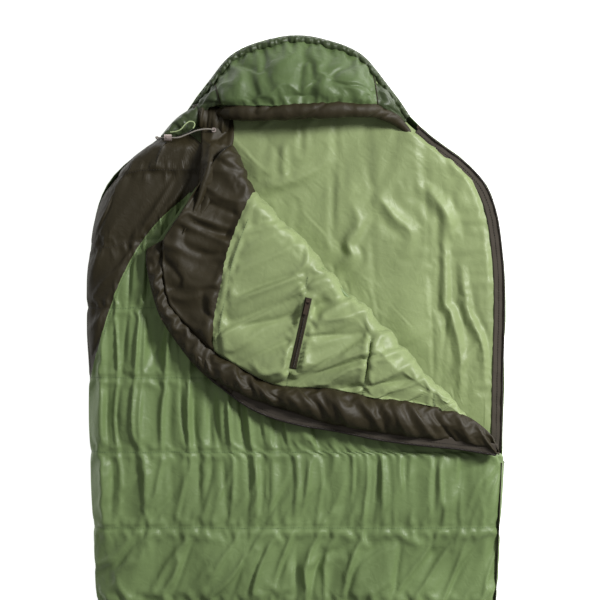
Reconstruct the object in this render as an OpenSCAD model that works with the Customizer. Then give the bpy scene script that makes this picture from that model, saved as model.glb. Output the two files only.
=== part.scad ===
// Mummy sleeping bag, lying on its back panel, with the front panel unzipped
// and folded back over itself. Millimetres. The origin is on the ground under
// the middle of the bag: +Y runs to the hood, +X to the zip and +Z up.

/* [Bag] */
// Length from the foot to the top of the hood
bag_length = 2200; // [2100:10:2300]
// Width across the shoulders
shoulder_width = 800; // [780:5:820]
// Distance between two quilting seams
quilt_pitch = 140; // [120:10:160]
// Depth of a quilting seam below the puffed channels
quilt_depth = 5; // [0:0.5:8]

/* [Layers] */
// Height of the lining that one lies on
back_top = 32; // [26:1:33]
// Height of the space inside the bag
cavity_height = 22; // [21:1:30]
// Thickness of the front panel
front_loft = 31; // [20:1:34]
// Thickness of the folded flap
flap_loft = 24; // [18:1:28]
// Thickness of a shell or lining fabric layer
skin = 1.4; // [1:0.1:2]
// Air left between two layers of cloth
gap = 0.3; // [0.2:0.1:1]

/* [Zip] */
// Length of the closed zip below the slider
zip_closed_length = 600; // [400:10:640]
// Width of the open zip tape
tape_width = 22; // [16:1:28]
// Length of a main slider
slider_length = 18; // [14:1:20]
// Length of the tab on a main slider
pull_length = 30; // [20:1:36]
// Length of the pocket zip
pocket_zip_length = 136; // [100:1:140]

/* [Cords] */
// Diameter of the hood draw cord
hood_cord_d = 2.6; // [2:0.1:3]
// Diameter of the neck loop cord
loop_cord_d = 2.4; // [2:0.1:3]
// Radius of the cord lock's barrel
lock_radius = 6; // [5.5:0.1:7]

/* [Hidden] */
$fn = 32;

green = "#6f8c5c";
pale_green = "#9dae80";
brown = "#3f372b";
olive = "#424b35";
tape_grey = "#45423a";
metal = "#b9aaa5";

// Everything along the bag is set out on a nominal bag 2200 x 800.
function along(y) = y * bag_length / 2200;
function across(x) = x * shoulder_width / 800;

// Half width of the bag at stations along it: [along, half width].
outline = [
    [-1083, 110], [-1070, 178], [-1040, 226], [-975, 262], [-850, 290],
    [-600, 333], [-450, 352], [-330, 366], [-200, 371.7], [0, 380.5], [283, 393],
    [450, 397], [610, 400],
    [700, 394], [770, 382], [820, 360], [860, 322], [900, 268], [940, 222],
    [980, 194], [1020, 161], [1050, 134], [1075, 98], [1092, 48], [1100, 20]
];

function segment(x, p, i = 0) =
    i >= len(p) - 2 || x < p[i + 1][0] ? i : segment(x, p, i + 1);
function slope(p, i) =
    let (a = max(i - 1, 0), b = min(i + 1, len(p) - 1))
    (p[b][1] - p[a][1]) / (p[b][0] - p[a][0]);
// Smooth curve through the stations of p, read at x
function curve_at(x, p) =
    let (i = segment(x, p), h = p[i + 1][0] - p[i][0], t = (x - p[i][0]) / h)
    p[i][1] * (1 + 2 * t) * pow(1 - t, 2)
    + p[i + 1][1] * t * t * (3 - 2 * t)
    + h * slope(p, i) * t * pow(1 - t, 2)
    - h * slope(p, i + 1) * t * t * (1 - t);
function half_width(y) = across(curve_at(y / along(1), outline));
// Point on the zip side, a distance k inside the outline
function zip_side(y, k) =
    let (s = half_width(y + 1) - half_width(y - 1), n = [2, -s] / norm([2, s]))
    [half_width(y), y] - k * n;
function mix(a, b, t) = a + (b - a) * t;

// Heights of the layers
lining_top = back_top + skin;
front_bottom = lining_top + cavity_height;
front_top_max = front_bottom + front_loft;
fold_height = front_top_max + 1.2;
zip_height = (lining_top + front_bottom) / 2;
// Gap that lets two facetted skins of one layer pass each other
skin_room = 1.6;

// The fold runs straight from the neck to the zip.
fold_start = [across(-78), along(800)];
fold_end = [across(386), along(306)];
fold_angle = atan2(fold_end[1] - fold_start[1], fold_end[0] - fold_start[0]);
// Clearance of each layer from the fold axis
fold_room = 0.8;
neck_corner = [across(-146.5), along(873)];
neck_tip = [across(-218), along(930)];

seam_start = along(-960);
quilt_half = along(quilt_pitch / 2);
foot_end = along(-1082);
foot_rows = [foot_end, along(-1070), along(-1046), along(-1012)];
quilt_rows = [for (y = [seam_start : quilt_half : along(865)]) y];
front_rows = concat(foot_rows, quilt_rows, [neck_corner[1], along(900), neck_tip[1]]);
hood_rows = [for (y = [900, 940, 980, 1020, 1050, 1075, 1090, 1097]) along(y)];
back_rows = concat(foot_rows, quilt_rows, hood_rows);
column_count = 11;
// Columns crowd towards the edges, where the layers roll down.
columns = [for (j = [0 : column_count - 1]) (1 + sin(180 * j / (column_count - 1) - 90)) / 2];

side_inset = 6;
function left_edge(y) = -(half_width(y) - side_inset);
function fold_line(y) =
    (y < neck_corner[1]
        ? fold_start[0] + (y - fold_start[1]) / tan(fold_angle)
        : neck_corner[0] + (y - neck_corner[1]) * (neck_tip[0] - neck_corner[0])
            / (neck_tip[1] - neck_corner[1]))
    - fold_room * 1.5;
function right_edge(y) = min(half_width(y) - side_inset, fold_line(y));

// Zero between two seams and one on a seam
function seam_dip(y) = pow(cos(180 * (y - seam_start) / (2 * quilt_half)), 2);
edge_drop = 18;
function front_top(x, y) =
    let (u = pow(min(abs(x) / half_width(y), 1), 6),
         foot = pow(max(0, -y / along(1) - 960) / 140, 3))
    front_top_max - edge_drop * max(u, foot) - quilt_depth * seam_dip(y) * (1 - u);
function back_bottom(x, y) =
    let (u = pow(min(abs(x) / half_width(y), 1), 8),
         ends = pow(max(0, abs(y) / along(1) - 960) / 140, 4))
    3.3 + 12 * max(u, ends);

// Closed solid between two grids of points. Rows run along +Y and columns
// along +X, so that the faces turn the right way.
module slab(low, high) {
    rows = len(low);
    cols = len(low[0]);
    function at(k, i, j) = k * rows * cols + i * cols + j;
    function quad(a, b, c, d) = [[a, b, c], [a, c, d]];
    faces = concat(
        [for (i = [0 : rows - 2], j = [0 : cols - 2],
            f = quad(at(1, i, j), at(1, i + 1, j), at(1, i + 1, j + 1), at(1, i, j + 1))) f],
        [for (i = [0 : rows - 2], j = [0 : cols - 2],
            f = [[at(0, i, j), at(0, i + 1, j + 1), at(0, i + 1, j)],
                 [at(0, i, j), at(0, i, j + 1), at(0, i + 1, j + 1)]]) f],
        [for (j = [0 : cols - 2],
            f = concat(
                quad(at(0, 0, j), at(1, 0, j), at(1, 0, j + 1), at(0, 0, j + 1)),
                quad(at(0, rows - 1, j + 1), at(1, rows - 1, j + 1),
                     at(1, rows - 1, j), at(0, rows - 1, j)))) f],
        [for (i = [0 : rows - 2],
            f = concat(
                quad(at(0, i + 1, 0), at(1, i + 1, 0), at(1, i, 0), at(0, i, 0)),
                quad(at(0, i, cols - 1), at(1, i, cols - 1),
                     at(1, i + 1, cols - 1), at(0, i + 1, cols - 1)))) f]
    );
    polyhedron([for (grid = [low, high], row = grid, p = row) p], faces);
}

function unit(v) = v / norm(v);
// Points of a smooth line through a route, with the given steps per stretch
function smooth_route(p, steps) = [
    for (i = [0 : len(p) - 2], k = [0 : steps - 1])
        let (t = k / steps, a = p[max(i - 1, 0)], b = p[i], c = p[i + 1],
             d = p[min(i + 2, len(p) - 1)])
        (2 * b + (c - a) * t + (2 * a - 5 * b + 4 * c - d) * t * t
            + (3 * b - a - 3 * c + d) * t * t * t) / 2,
    p[len(p) - 1]
];
// Tube along a route, with half width rx and half height rz; each end
// shrinks to the given share over its last ring, and widths, where given,
// is the share of rx at each point.
module tube(path, rx, rz, sides = 8, end_share = 1, widths = []) {
    last = len(path) - 1;
    function tangent(i) = unit(path[min(i + 1, last)] - path[max(i - 1, 0)]);
    function side(i) = unit(cross(tangent(i), [0, 0, 1]));
    function up(i) = cross(side(i), tangent(i));
    function size(i) = i == 0 || i == last ? end_share : 1;
    function width(i) = rx * (len(widths) > 0 ? widths[i] : 1);
    points = [for (i = [0 : last], k = [0 : sides - 1])
        path[i] + size(i) * (width(i) * cos(360 * k / sides) * side(i)
            + rz * sin(360 * k / sides) * up(i))];
    function at(i, k) = i * sides + k % sides;
    walls = [for (i = [0 : last - 1], k = [0 : sides - 1],
        f = [[at(i, k), at(i, k + 1), at(i + 1, k + 1)],
             [at(i, k), at(i + 1, k + 1), at(i + 1, k)]]) f];
    start_cap = [for (k = [1 : sides - 2]) [at(0, 0), at(0, k + 1), at(0, k)]];
    end_cap = [for (k = [1 : sides - 2]) [at(last, 0), at(last, k), at(last, k + 1)]];
    polyhedron(points, concat(walls, start_cap, end_cap));
}

// Flat plate inside the outline, from z0 up by the given height
module outline_plate(rows, inset, z0, height) {
    translate([0, 0, z0]) linear_extrude(height) polygon(concat(
        [for (y = rows) [half_width(y) - inset, y]],
        [for (i = [len(rows) - 1 : -1 : 0]) [-(half_width(rows[i]) - inset), rows[i]]]));
}

// Wall that follows one side of the bag between two stations
module side_wall(side, rows, z0, height) {
    wall_thickness = 3;
    translate([0, 0, z0]) linear_extrude(height) polygon(concat(
        [for (y = rows) [side * (half_width(y) - 1), y]],
        [for (i = [len(rows) - 1 : -1 : 0])
            [side * (half_width(rows[i]) - 1 - wall_thickness), rows[i]]]));
}

module back_shell() {
    color(green) outline_plate(back_rows, 14, 0, 3);
}
module back_insulation() {
    function grid(top) = [for (y = back_rows) [for (c = columns)
        let (x = (2 * c - 1) * (half_width(y) - side_inset))
        [x, y, top ? back_top - gap : back_bottom(x, y)]]];
    color("white") slab(grid(false), grid(true));
}
module back_lining() {
    color(pale_green) outline_plate(back_rows, side_inset, back_top, skin);
}

// Rows of points on the front panel between two edges, a depth below its top
function front_grid(rows, low_x, high_x, depth) =
    [for (i = [0 : len(rows) - 1]) [for (c = columns)
        let (x = mix(low_x[i], high_x[i], c))
        [x, rows[i], front_top(x, rows[i]) - depth]]];

// Edge of the dark shoulder panel: [along, across]
shoulder_seam = [
    [430, -404], [510, -378], [580, -354], [650, -328], [720, -284],
    [760, -245], [796, -201], [812, -93]
];
function shoulder_edge(y) =
    max(across(lookup(y / along(1), shoulder_seam)), left_edge(y) + 2);
shell_rows = concat([for (y = front_rows) if (y < along(795)) y], [along(796), along(812)]);
shoulder_rows = concat([for (y = front_rows) if (y > along(430) && y < along(795)) y],
    [along(796), along(812)], [for (y = front_rows) if (y > along(815)) y]);
module front_shell() {
    low_x = [for (y = shell_rows) y < along(430) ? left_edge(y) : shoulder_edge(y) + 0.5];
    high_x = [for (y = shell_rows) max(right_edge(y), shoulder_edge(y) + 2)];
    color(green) slab(front_grid(shell_rows, low_x, high_x, skin),
                      front_grid(shell_rows, low_x, high_x, 0));
}
module shoulder_panel() {
    low_x = [for (y = shoulder_rows) left_edge(y)];
    high_x = [for (y = shoulder_rows)
        y > along(812) ? right_edge(y) : min(shoulder_edge(y), right_edge(y) - 1)];
    color(brown) slab(front_grid(shoulder_rows, low_x, high_x, skin),
                      front_grid(shoulder_rows, low_x, high_x, 0));
}
module front_insulation() {
    low_x = [for (y = front_rows) left_edge(y)];
    high_x = [for (y = front_rows) right_edge(y)];
    floor_z = front_bottom + skin + gap;
    low = [for (i = [0 : len(front_rows) - 1]) [for (c = columns)
        [mix(low_x[i], high_x[i], c), front_rows[i], floor_z]]];
    color("white") slab(low, front_grid(front_rows, low_x, high_x, skin + skin_room));
}
module front_lining() {
    color(pale_green) translate([0, 0, front_bottom]) linear_extrude(skin) polygon(concat(
        [for (y = front_rows) [right_edge(y), y]],
        [for (i = [len(front_rows) - 1 : -1 : 0]) [left_edge(front_rows[i]), front_rows[i]]]));
}

wall_z = lining_top + gap;
wall_height = cavity_height - 2 * gap;
foot_top = along(-960);
module foot_wall() {
    ring = concat(foot_rows, [foot_top]);
    outer = 1;
    inner = 5;
    color(green) translate([0, 0, wall_z]) linear_extrude(wall_height) polygon(concat(
        [for (i = [len(ring) - 1 : -1 : 0]) [-(half_width(ring[i]) - outer), ring[i]]],
        [for (y = ring) [half_width(y) - outer, y]],
        [for (i = [len(ring) - 1 : -1 : 0]) [half_width(ring[i]) - inner, ring[i] + (i == 0 ? 4 : 0)]],
        [for (i = [0 : len(ring) - 1]) [-(half_width(ring[i]) - inner), ring[i] + (i == 0 ? 4 : 0)]]));
}
module side_wall_left() {
    rows = concat([foot_top + 0.5], [for (y = front_rows) if (y > foot_top + 1) y]);
    color(green) side_wall(-1, rows, wall_z, wall_height);
}
zip_rows_low = along(283) - zip_closed_length - 16;
module side_wall_right() {
    rows = concat([foot_top + 0.5], [for (y = quilt_rows) if (y > foot_top + 1 && y < zip_rows_low) y],
        [zip_rows_low]);
    color(green) side_wall(1, rows, wall_z, wall_height);
}

// Hood: a puffed dome over the top of the back layer. Its mouth runs
// slightly downhill from the left to the zip side.
hood_peak = 108;
hood_rim = 41;
mouth_left = [across(-146), along(965)];
mouth_right = [across(200), along(932)];
roll_radius = 15;
function mouth_y(x) =
    mix(mouth_left[1], mouth_right[1], (x - mouth_left[0]) / (mouth_right[0] - mouth_left[0]));
hood_steps = [0, 0.2, 0.42, 0.62, 0.8, 0.93, 1];
function hood_point(u, v, depth) =
    let (yc = mix(along(968), along(1094), v),
         lean = (mouth_y(sign(u) * 150) + roll_radius + 4 - along(968)) * (1 - v),
         x = u * (half_width(yc + lean) - 8),
         y = yc + (mouth_y(x) + roll_radius + 4 - along(968)) * (1 - v),
         dome = (1 - pow(abs(u), 3)) * (1 - pow(v, 2.6)))
    [x, y, mix(hood_rim, hood_peak, dome) - depth * mix(0.15, 1, dome)];
module hood_layer(u_low, u_high, outer, inner) {
    cols = 10;
    function grid(depth) = [for (v = hood_steps) [for (j = [0 : cols])
        hood_point(mix(u_low, u_high, j / cols), v, depth)]];
    slab(grid(inner), grid(outer));
}
hood_seam = 0.74;
module hood_shell() {
    color(green) hood_layer(-hood_seam + 0.01, hood_seam - 0.01, 0, 3);
}
module hood_gusset_left() {
    color(olive) hood_layer(-1, -hood_seam - 0.01, 0, 3);
}
module hood_gusset_right() {
    color(olive) hood_layer(hood_seam + 0.01, 1, 0, 3);
}
module hood_insulation() {
    color("white") hood_layer(-1, 1, 5, 25);
}
module hood_lining() {
    color(pale_green) hood_layer(-1, 1, 27, 30);
}
module hood_hem() {
    hem = concat([for (v = hood_steps) hood_point(-1, v, 0)],
        [for (i = [len(hood_steps) - 1 : -1 : 0]) hood_point(1, hood_steps[i], 0)]);
    color(olive) tube([for (p = hem) [p[0] * 1.02, p[1] + 3, lining_top + 2.4]], 2, 2);
}
module hood_face_roll() {
    count = 12;
    end_share = 0.6;
    path = [for (i = [0 : count])
        let (x = mix(mouth_left[0], mouth_right[0], i / count),
             u = (2 * i / count - 1) * 0.93)
        [x, mouth_y(x), max(lining_top + roll_radius * end_share + 1,
            mix(hood_rim, hood_peak, 1 - pow(abs(u), 3)) - 16)]];
    color(brown) tube(path, roll_radius, roll_radius - 2, 10, end_share);
}
// Bunched fabric where the left end of the hood meets the front panel
module neck_gather() {
    color(brown) hull() {
        translate([across(-203), along(950), 50]) sphere(15, $fn = 16);
        translate([across(-160), along(920), 54]) sphere(16, $fn = 16);
        translate([across(-170), along(944), 54]) sphere(14, $fn = 16);
    }
}

// Open zip along the free edge of the back layer
open_zip_rows = [for (y = [312, 380, 460, 540, 620, 680, 730, 775, 815, 850, 880, 905, 922]) along(y)];
module edge_strip(rows, outer, inner, z0, height) {
    translate([0, 0, z0]) linear_extrude(height) polygon(concat(
        [for (y = rows) zip_side(y, outer)],
        [for (i = [len(rows) - 1 : -1 : 0]) zip_side(rows[i], inner)]));
}
module zip_tape_back_open() {
    color(tape_grey) edge_strip(open_zip_rows, 1, tape_width, lining_top + gap, 1);
}
module zip_coil_back_open() {
    color(brown) edge_strip(open_zip_rows, 1, 5, lining_top + gap + 1, 2.6);
}
module zip_top_stop_back() {
    end = zip_side(along(927), 3);
    color(brown) translate([end[0], end[1], lining_top + gap]) cylinder(h = 4.4, r = 3.4);
}

// Closed zip on the side of the bag: local +X points out of the bag and
// local -Y runs to the foot, from the slider.
zip_start = [half_width(along(283)) - 3, along(283)];
zip_angle = -atan((half_width(along(283)) - half_width(along(-330))) / along(613));
coil_half_gap = 0.8;
coil_size = 3.2;
slider_half_height = 6;
module zip_frame() {
    translate([zip_start[0], zip_start[1], zip_height]) rotate(zip_angle) children();
}
module zip_bar(x, width, z0, z1) {
    zip_frame() translate([x - width / 2, -zip_closed_length, z0])
        cube([width, zip_closed_length, z1 - z0]);
}
coil_top = coil_half_gap + coil_size;
tape_reach = 20;
module zip_tape_front_closed() {
    color(tape_grey) zip_bar(0, 1, coil_top, tape_reach);
}
module zip_tape_back_closed() {
    color(tape_grey) zip_bar(0, 1, -tape_reach, -coil_top);
}
module zip_coil_front_closed() {
    color(brown) zip_bar(0, coil_size, coil_half_gap, coil_top);
}
module zip_coil_back_closed() {
    color(brown) zip_bar(0, coil_size, -coil_top, -coil_half_gap);
}
module zip_bottom_stop() {
    color(metal) zip_frame() translate([-2.4, -zip_closed_length - 7, -5]) cube([4.8, 6.6, 10]);
}

// Webbing loop that stands out of the foot seam, open along Z
loop_x = 88;
loop_size = [20, 15, 2];
loop_web = 3;
module hang_loop(side) {
    hole = [loop_size[0] - 2 * loop_web, loop_size[1] - 2 * loop_web, 3 * loop_size[2]];
    translate([side * loop_x, foot_end - loop_size[1] / 2, zip_height]) difference() {
        cube(loop_size, center = true);
        cube(hole, center = true);
    }
}
module hang_loop_left() {
    color(brown) hang_loop(-1);
}
module hang_loop_right() {
    color(brown) hang_loop(1);
}

// Hood draw cord: knot, cord lock and eyelet. Route points in millimetres.
lock_centre = [-244, 900, 84];
hood_cord_route = [
    [-262, 900, 84], [-250, 900, 84], [-238, 900, 84], [-230, 900, 84], [-222, 901, 84],
    [-207, 907, 83], [-190, 914, 81], [-174, 917, 78], [-164, 917, 75], [-158, 916, 73]
];
neck_loop_route = [
    [-240, 911, 80], [-230, 912, 81], [-220, 916, 82], [-212, 925, 82],
    [-204, 931, 80], [-196, 930, 79], [-194, 924, 80], [-197, 918, 81]
];
module hood_cord() {
    color(tape_grey) tube(smooth_route(hood_cord_route, 2), hood_cord_d / 2, hood_cord_d / 2);
}
module neck_loop_cord() {
    color(pale_green) tube(smooth_route(neck_loop_route, 2), loop_cord_d / 2, loop_cord_d / 2);
}
module hood_cord_knot() {
    color(tape_grey) translate(hood_cord_route[0] - [3.6, 0, 0]) sphere(3.5, $fn = 16);
}
module cord_eyelet() {
    color(metal) translate([-158, 916, 69.8]) difference() {
        cylinder(h = 2, r = 4.5);
        translate([0, 0, -1]) cylinder(h = 4, r = 2);
    }
}

// Cord lock: the cord runs along the barrel and through the sprung button.
button_radius = 2.6;
button_travel = 1.5;
cord_room = 0.4;
module cord_lock_barrel() {
    color(metal) translate(lock_centre) difference() {
        rotate([0, 90, 0]) cylinder(h = 14, r = lock_radius, center = true);
        rotate([0, 90, 0]) cylinder(h = 16, r = hood_cord_d / 2 + cord_room, center = true);
        translate([0, 0, -4.2]) cylinder(h = 12, r = button_radius + 0.2);
    }
}
module cord_lock_button() {
    color(metal) translate(lock_centre) difference() {
        translate([0, 0, -2.4]) cylinder(h = 10.8, r = button_radius);
        for (lift = [0, button_travel])
            translate([0, 0, lift]) rotate([0, 90, 0])
                cylinder(h = 8, r = hood_cord_d / 2 + cord_room / 2, center = true);
        translate([-4, -hood_cord_d / 2 - cord_room / 2, 0])
            cube([8, hood_cord_d + cord_room, button_travel]);
    }
}
module cord_lock_spring() {
    color("silver") translate(lock_centre + [0, 0, -4.1]) difference() {
        cylinder(h = 1.6, r = 2);
        translate([0, 0, -1]) cylinder(h = 4, r = 1.2);
    }
}

// Flap: it turns about the fold axis. Local X runs along the axis from the
// neck to the zip, the flap lies at negative local Y, and Z is from the axis.
// Each station is [place on the axis, place on the edge, distance of the edge].
flap_stations = [
    [-96, -56, 224], [-72, -36, 248], [-24, 13, 279], [40, 60, 297],
    [110, 128, 307], [180, 195, 308], [255, 270, 297], [315, 325, 279],
    [375, 381, 246], [437, 440, 201], [502, 504, 155], [562, 565, 105],
    [620, 622, 56], [664, 664, 24]
];
last_station = len(flap_stations) - 1;
// Distances of the zip tape and the draft tube from the edge
shell_inset = 20;
tube_inner = 85;
full_edge = 200;
module fold_frame() {
    translate([fold_start[0], fold_start[1], fold_height]) rotate(fold_angle) children();
}
// Point of the flap in its own frame, a distance k inside the edge
function band(j, k) = k * min(1, flap_stations[j][2] / full_edge) / flap_stations[j][2];
function flap_xy(j, share) =
    let (s = flap_stations[j])
    [mix(s[1], s[0], share), -mix(s[2], fold_room, share)];
function flap_shares(j) = [band(j, shell_inset), band(j, 52), band(j, tube_inner),
    max(0.38, band(j, tube_inner) + 0.08), 0.6, 0.8, 1];
flap_heights = [0.28, 0.32, 0.38, 1, 1, 1, 0.7];
// The collar lies on the first stations, so the flap is thin there.
function flap_rise(j) = j < 2 ? 0.4 : 1;
function flap_top(j, r) = flap_loft * min(flap_heights[r], flap_rise(j));
function flap_grid(stations, rows, depth) = [for (r = rows) [for (j = stations)
    let (p = flap_xy(j, flap_shares(j)[r]))
    [p[0], p[1], flap_top(j, r) - depth]]];
function range(a, b) = [for (i = [a : b]) i];
module flap_strip(stations, outer, inner, z0, height) {
    translate([0, 0, z0]) linear_extrude(height) polygon(concat(
        [for (j = stations) flap_xy(j, band(j, outer))],
        [for (i = [len(stations) - 1 : -1 : 0])
            flap_xy(stations[i], band(stations[i], inner))]));
}
all_stations = range(0, last_station);
rows_all = range(0, len(flap_heights) - 1);
module flap_shell() {
    color(green) fold_frame() translate([0, 0, gap]) linear_extrude(skin) polygon(concat(
        [for (j = all_stations) flap_xy(j, band(j, shell_inset))],
        [for (i = [last_station : -1 : 0]) flap_xy(i, 1)]));
}
module flap_insulation() {
    low = [for (r = rows_all) [for (j = all_stations)
        let (p = flap_xy(j, flap_shares(j)[r])) [p[0], p[1], skin + 2 * gap]]];
    color("white") fold_frame() slab(low, flap_grid(all_stations, rows_all, 3));
}
facing_last = 3;
module flap_lining() {
    columns = range(facing_last, last_station);
    rows = range(2, len(flap_heights) - 1);
    color(pale_green) fold_frame()
        slab(flap_grid(columns, rows, skin), flap_grid(columns, rows, 0));
}
module flap_facing() {
    rows = range(2, len(flap_heights) - 1);
    function grid(depth) = [for (row = flap_grid(range(1, facing_last), rows, depth))
        [for (j = [0 : len(row) - 1]) row[j] - [j == len(row) - 1 ? 0.4 : 0, 0, 0]]];
    color(brown) fold_frame() slab(grid(skin), grid(0));
}
tube_height = 8.5;
module flap_draft_tube() {
    stations = range(2, last_station - 1);
    path = [for (j = stations)
        let (p = flap_xy(j, band(j, 50))) [p[0], p[1], flap_loft * 0.4 + tube_height + 1]];
    widths = [for (j = stations) min(1, flap_stations[j][2] / full_edge)];
    color(brown) fold_frame() tube(path, 25, tube_height, 10, 0.45, widths);
}
module flap_collar() {
    path = [[-82, -14], [-75, -70], [-63, -128], [-48, -180], [-34, -208]];
    color(brown) fold_frame()
        tube([for (p = path) [p[0], p[1], flap_loft * 0.4 + tube_height + 1]], 18, tube_height, 10, 0.6);
}
tape_z = flap_loft * 0.28 + 0.6;
module flap_zip_tape() {
    color(tape_grey) fold_frame() flap_strip(all_stations, 0, shell_inset - 1, tape_z, 1);
}
module flap_zip_coil() {
    color(brown) fold_frame() flap_strip(range(3, last_station), 0, 4, tape_z + 1, 2.6);
}
module flap_zip_guard() {
    color(brown) fold_frame() flap_strip(range(1, 4), 5, 24, tape_z + 1.2, 1.4);
}
module flap_zip_top_stop() {
    p = flap_xy(3, band(3, 2.4));
    color(metal) fold_frame() translate([p[0] - 4, p[1], tape_z + 1.1]) cylinder(h = 4, r = 2);
}

// Pocket zip in the flap's lining: local -Y runs along it, +Z is up.
pocket_top = [across(22), along(597)];
pocket_angle = -12.7;
pocket_z = fold_height + flap_loft;
module pocket_frame() {
    translate([pocket_top[0], pocket_top[1], pocket_z]) rotate(pocket_angle) children();
}
module pocket_bag() {
    color(pale_green) pocket_frame()
        translate([-12, -pocket_zip_length + 16, -skin - 1.2]) cube([50, pocket_zip_length - 26, 0.8]);
}
module pocket_zip_tape() {
    color(brown) pocket_frame()
        translate([-6, -pocket_zip_length, 0.2]) cube([12, pocket_zip_length, 0.8]);
}
module pocket_zip_coil() {
    color(brown) pocket_frame()
        translate([-2, -pocket_zip_length + 2, 1]) cube([4, pocket_zip_length - 4, 1.4]);
}

// Ring-like lug that a pull hangs on; its bore runs along local Z
lug_radius = 2;
lug_half = 2;
pin_radius = 0.9;
pin_room = 0.2;
module lug() {
    difference() {
        union() {
            cylinder(h = 2 * lug_half, r = lug_radius, center = true);
            translate([-lug_radius, -lug_radius, -lug_half])
                cube([lug_radius, 2 * lug_radius, 2 * lug_half]);
        }
        cylinder(h = 6 * lug_half, r = pin_radius + pin_room, center = true);
    }
}
// Pull whose pin runs along local Z through a lug; the tab runs along -Y
module pull(length, width) {
    thickness = 1.6;
    arm = 1.4;
    arm_z = lug_half + 0.4;
    cylinder(h = 2 * (arm_z + arm), r = pin_radius, center = true);
    for (side = [-1, 1]) {
        translate([0, 0, side * (arm_z + arm / 2)]) cylinder(h = arm, r = 1.4, center = true);
        translate([-thickness / 2, -8, side * (arm_z + arm / 2) - arm / 2])
            cube([thickness, 8, arm]);
    }
    translate([-thickness / 2, -length, -width / 2]) cube([thickness, length - 5, width]);
}
lug_offset = 5.7;
module main_pull() {
    pull(pull_length, 2 * (lug_half + 1.8));
}
// Two plates that hold the coils from outside and inside, joined by a
// thin bridge that runs in the gap between the coils
module zip_slider() {
    plate = 1.8;
    plate_x = coil_size / 2 + 0.4;
    bridge = 1.1;
    color(brown) zip_frame() {
        for (side = [-1, 1]) {
            translate([side * (plate_x + plate / 2), 0, 0])
                cube([plate, slider_length, 2 * slider_half_height], center = true);
            for (edge = [-1, 1])
                translate([side * (plate_x - 0.4), 0, edge * (slider_half_height - 0.7)])
                    cube([1, slider_length, 1.4], center = true);
            translate([side * lug_offset, 0, 0]) rotate(side > 0 ? 0 : 180) lug();
        }
        translate([0, slider_length / 2 - 2, 0])
            cube([2 * plate_x + 1, 4, bridge], center = true);
    }
}
module zip_pull_outer() {
    color(brown) zip_frame() translate([lug_offset, 0, 0]) main_pull();
}
module zip_pull_inner() {
    color(brown) zip_frame() translate([-lug_offset, 0, 0]) main_pull();
}

pocket_slider_y = -8;
pocket_lug_z = 6;
module pocket_slider() {
    color(brown) pocket_frame() translate([0, pocket_slider_y, 0]) {
        translate([-4.2, -6, 2.8]) cube([8.4, 12, 1.3]);
        for (side = [-1, 1])
            translate([side * 3.5 - 0.7, -6, 1.3]) cube([1.4, 12, 2]);
        translate([0, 0, pocket_lug_z]) rotate([0, -90, 0]) lug();
    }
}
module pocket_pull() {
    color(brown) pocket_frame() translate([0, pocket_slider_y, pocket_lug_z])
        rotate([0, -90, 0]) pull(24, 7.6);
}

back_shell();
back_insulation();
back_lining();
front_shell();
shoulder_panel();
front_insulation();
front_lining();
foot_wall();
side_wall_left();
side_wall_right();
hood_shell();
hood_gusset_left();
hood_gusset_right();
hood_insulation();
hood_lining();
hood_hem();
hood_face_roll();
neck_gather();
zip_tape_back_open();
zip_coil_back_open();
zip_top_stop_back();
zip_tape_back_closed();
zip_tape_front_closed();
zip_coil_back_closed();
zip_coil_front_closed();
zip_bottom_stop();
hang_loop_left();
hang_loop_right();
cord_eyelet();
hood_cord();
neck_loop_cord();
hood_cord_knot();
flap_shell();
flap_insulation();
flap_lining();
flap_facing();
flap_draft_tube();
flap_collar();
flap_zip_guard();
flap_zip_tape();
flap_zip_coil();
flap_zip_top_stop();
pocket_bag();
pocket_zip_tape();
pocket_zip_coil();
zip_slider();
zip_pull_outer();
zip_pull_inner();
pocket_slider();
pocket_pull();
cord_lock_barrel();
cord_lock_button();
cord_lock_spring();
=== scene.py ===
import math

import bpy
import numpy as np
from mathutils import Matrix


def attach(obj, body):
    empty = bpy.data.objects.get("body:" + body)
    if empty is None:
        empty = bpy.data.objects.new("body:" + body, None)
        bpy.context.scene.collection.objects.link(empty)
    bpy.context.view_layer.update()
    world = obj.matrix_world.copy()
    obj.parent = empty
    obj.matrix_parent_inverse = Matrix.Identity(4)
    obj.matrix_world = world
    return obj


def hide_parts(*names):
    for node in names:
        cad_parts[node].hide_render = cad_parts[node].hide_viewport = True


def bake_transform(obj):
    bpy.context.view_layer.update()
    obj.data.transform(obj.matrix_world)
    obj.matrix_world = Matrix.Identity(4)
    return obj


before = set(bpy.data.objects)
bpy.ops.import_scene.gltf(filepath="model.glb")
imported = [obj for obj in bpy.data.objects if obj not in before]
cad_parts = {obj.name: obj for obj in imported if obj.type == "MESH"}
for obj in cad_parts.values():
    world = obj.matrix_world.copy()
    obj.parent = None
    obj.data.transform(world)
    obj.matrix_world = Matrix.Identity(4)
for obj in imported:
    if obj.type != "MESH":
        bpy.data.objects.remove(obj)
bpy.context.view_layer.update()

# A mummy sleeping bag lies flat on a pale floor, seen from straight above, with
# its front panel unzipped and folded back. Shapes are worked out in millimetres
# in the frame of the CAD model and become metres when a mesh is made.
MM = 0.001
EFFORT = 1.0
UP = np.array([0.0, 0.0, 1.0])
# Width of a crease's crest, as a share of the hills that it runs between
CREASE_WIDTH = 0.16
# Share of its speed that cloth keeps from one settling step to the next
DRAG = 0.95


# ---------------------------------------------------------------- materials
def feed(tree, node, inputs):
    """Sets inputs of a node, each to a constant or to the socket that feeds it."""
    for name, value in inputs.items():
        if isinstance(value, bpy.types.NodeSocket):
            tree.links.new(value, node.inputs[name])
        else:
            node.inputs[name].default_value = value


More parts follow.
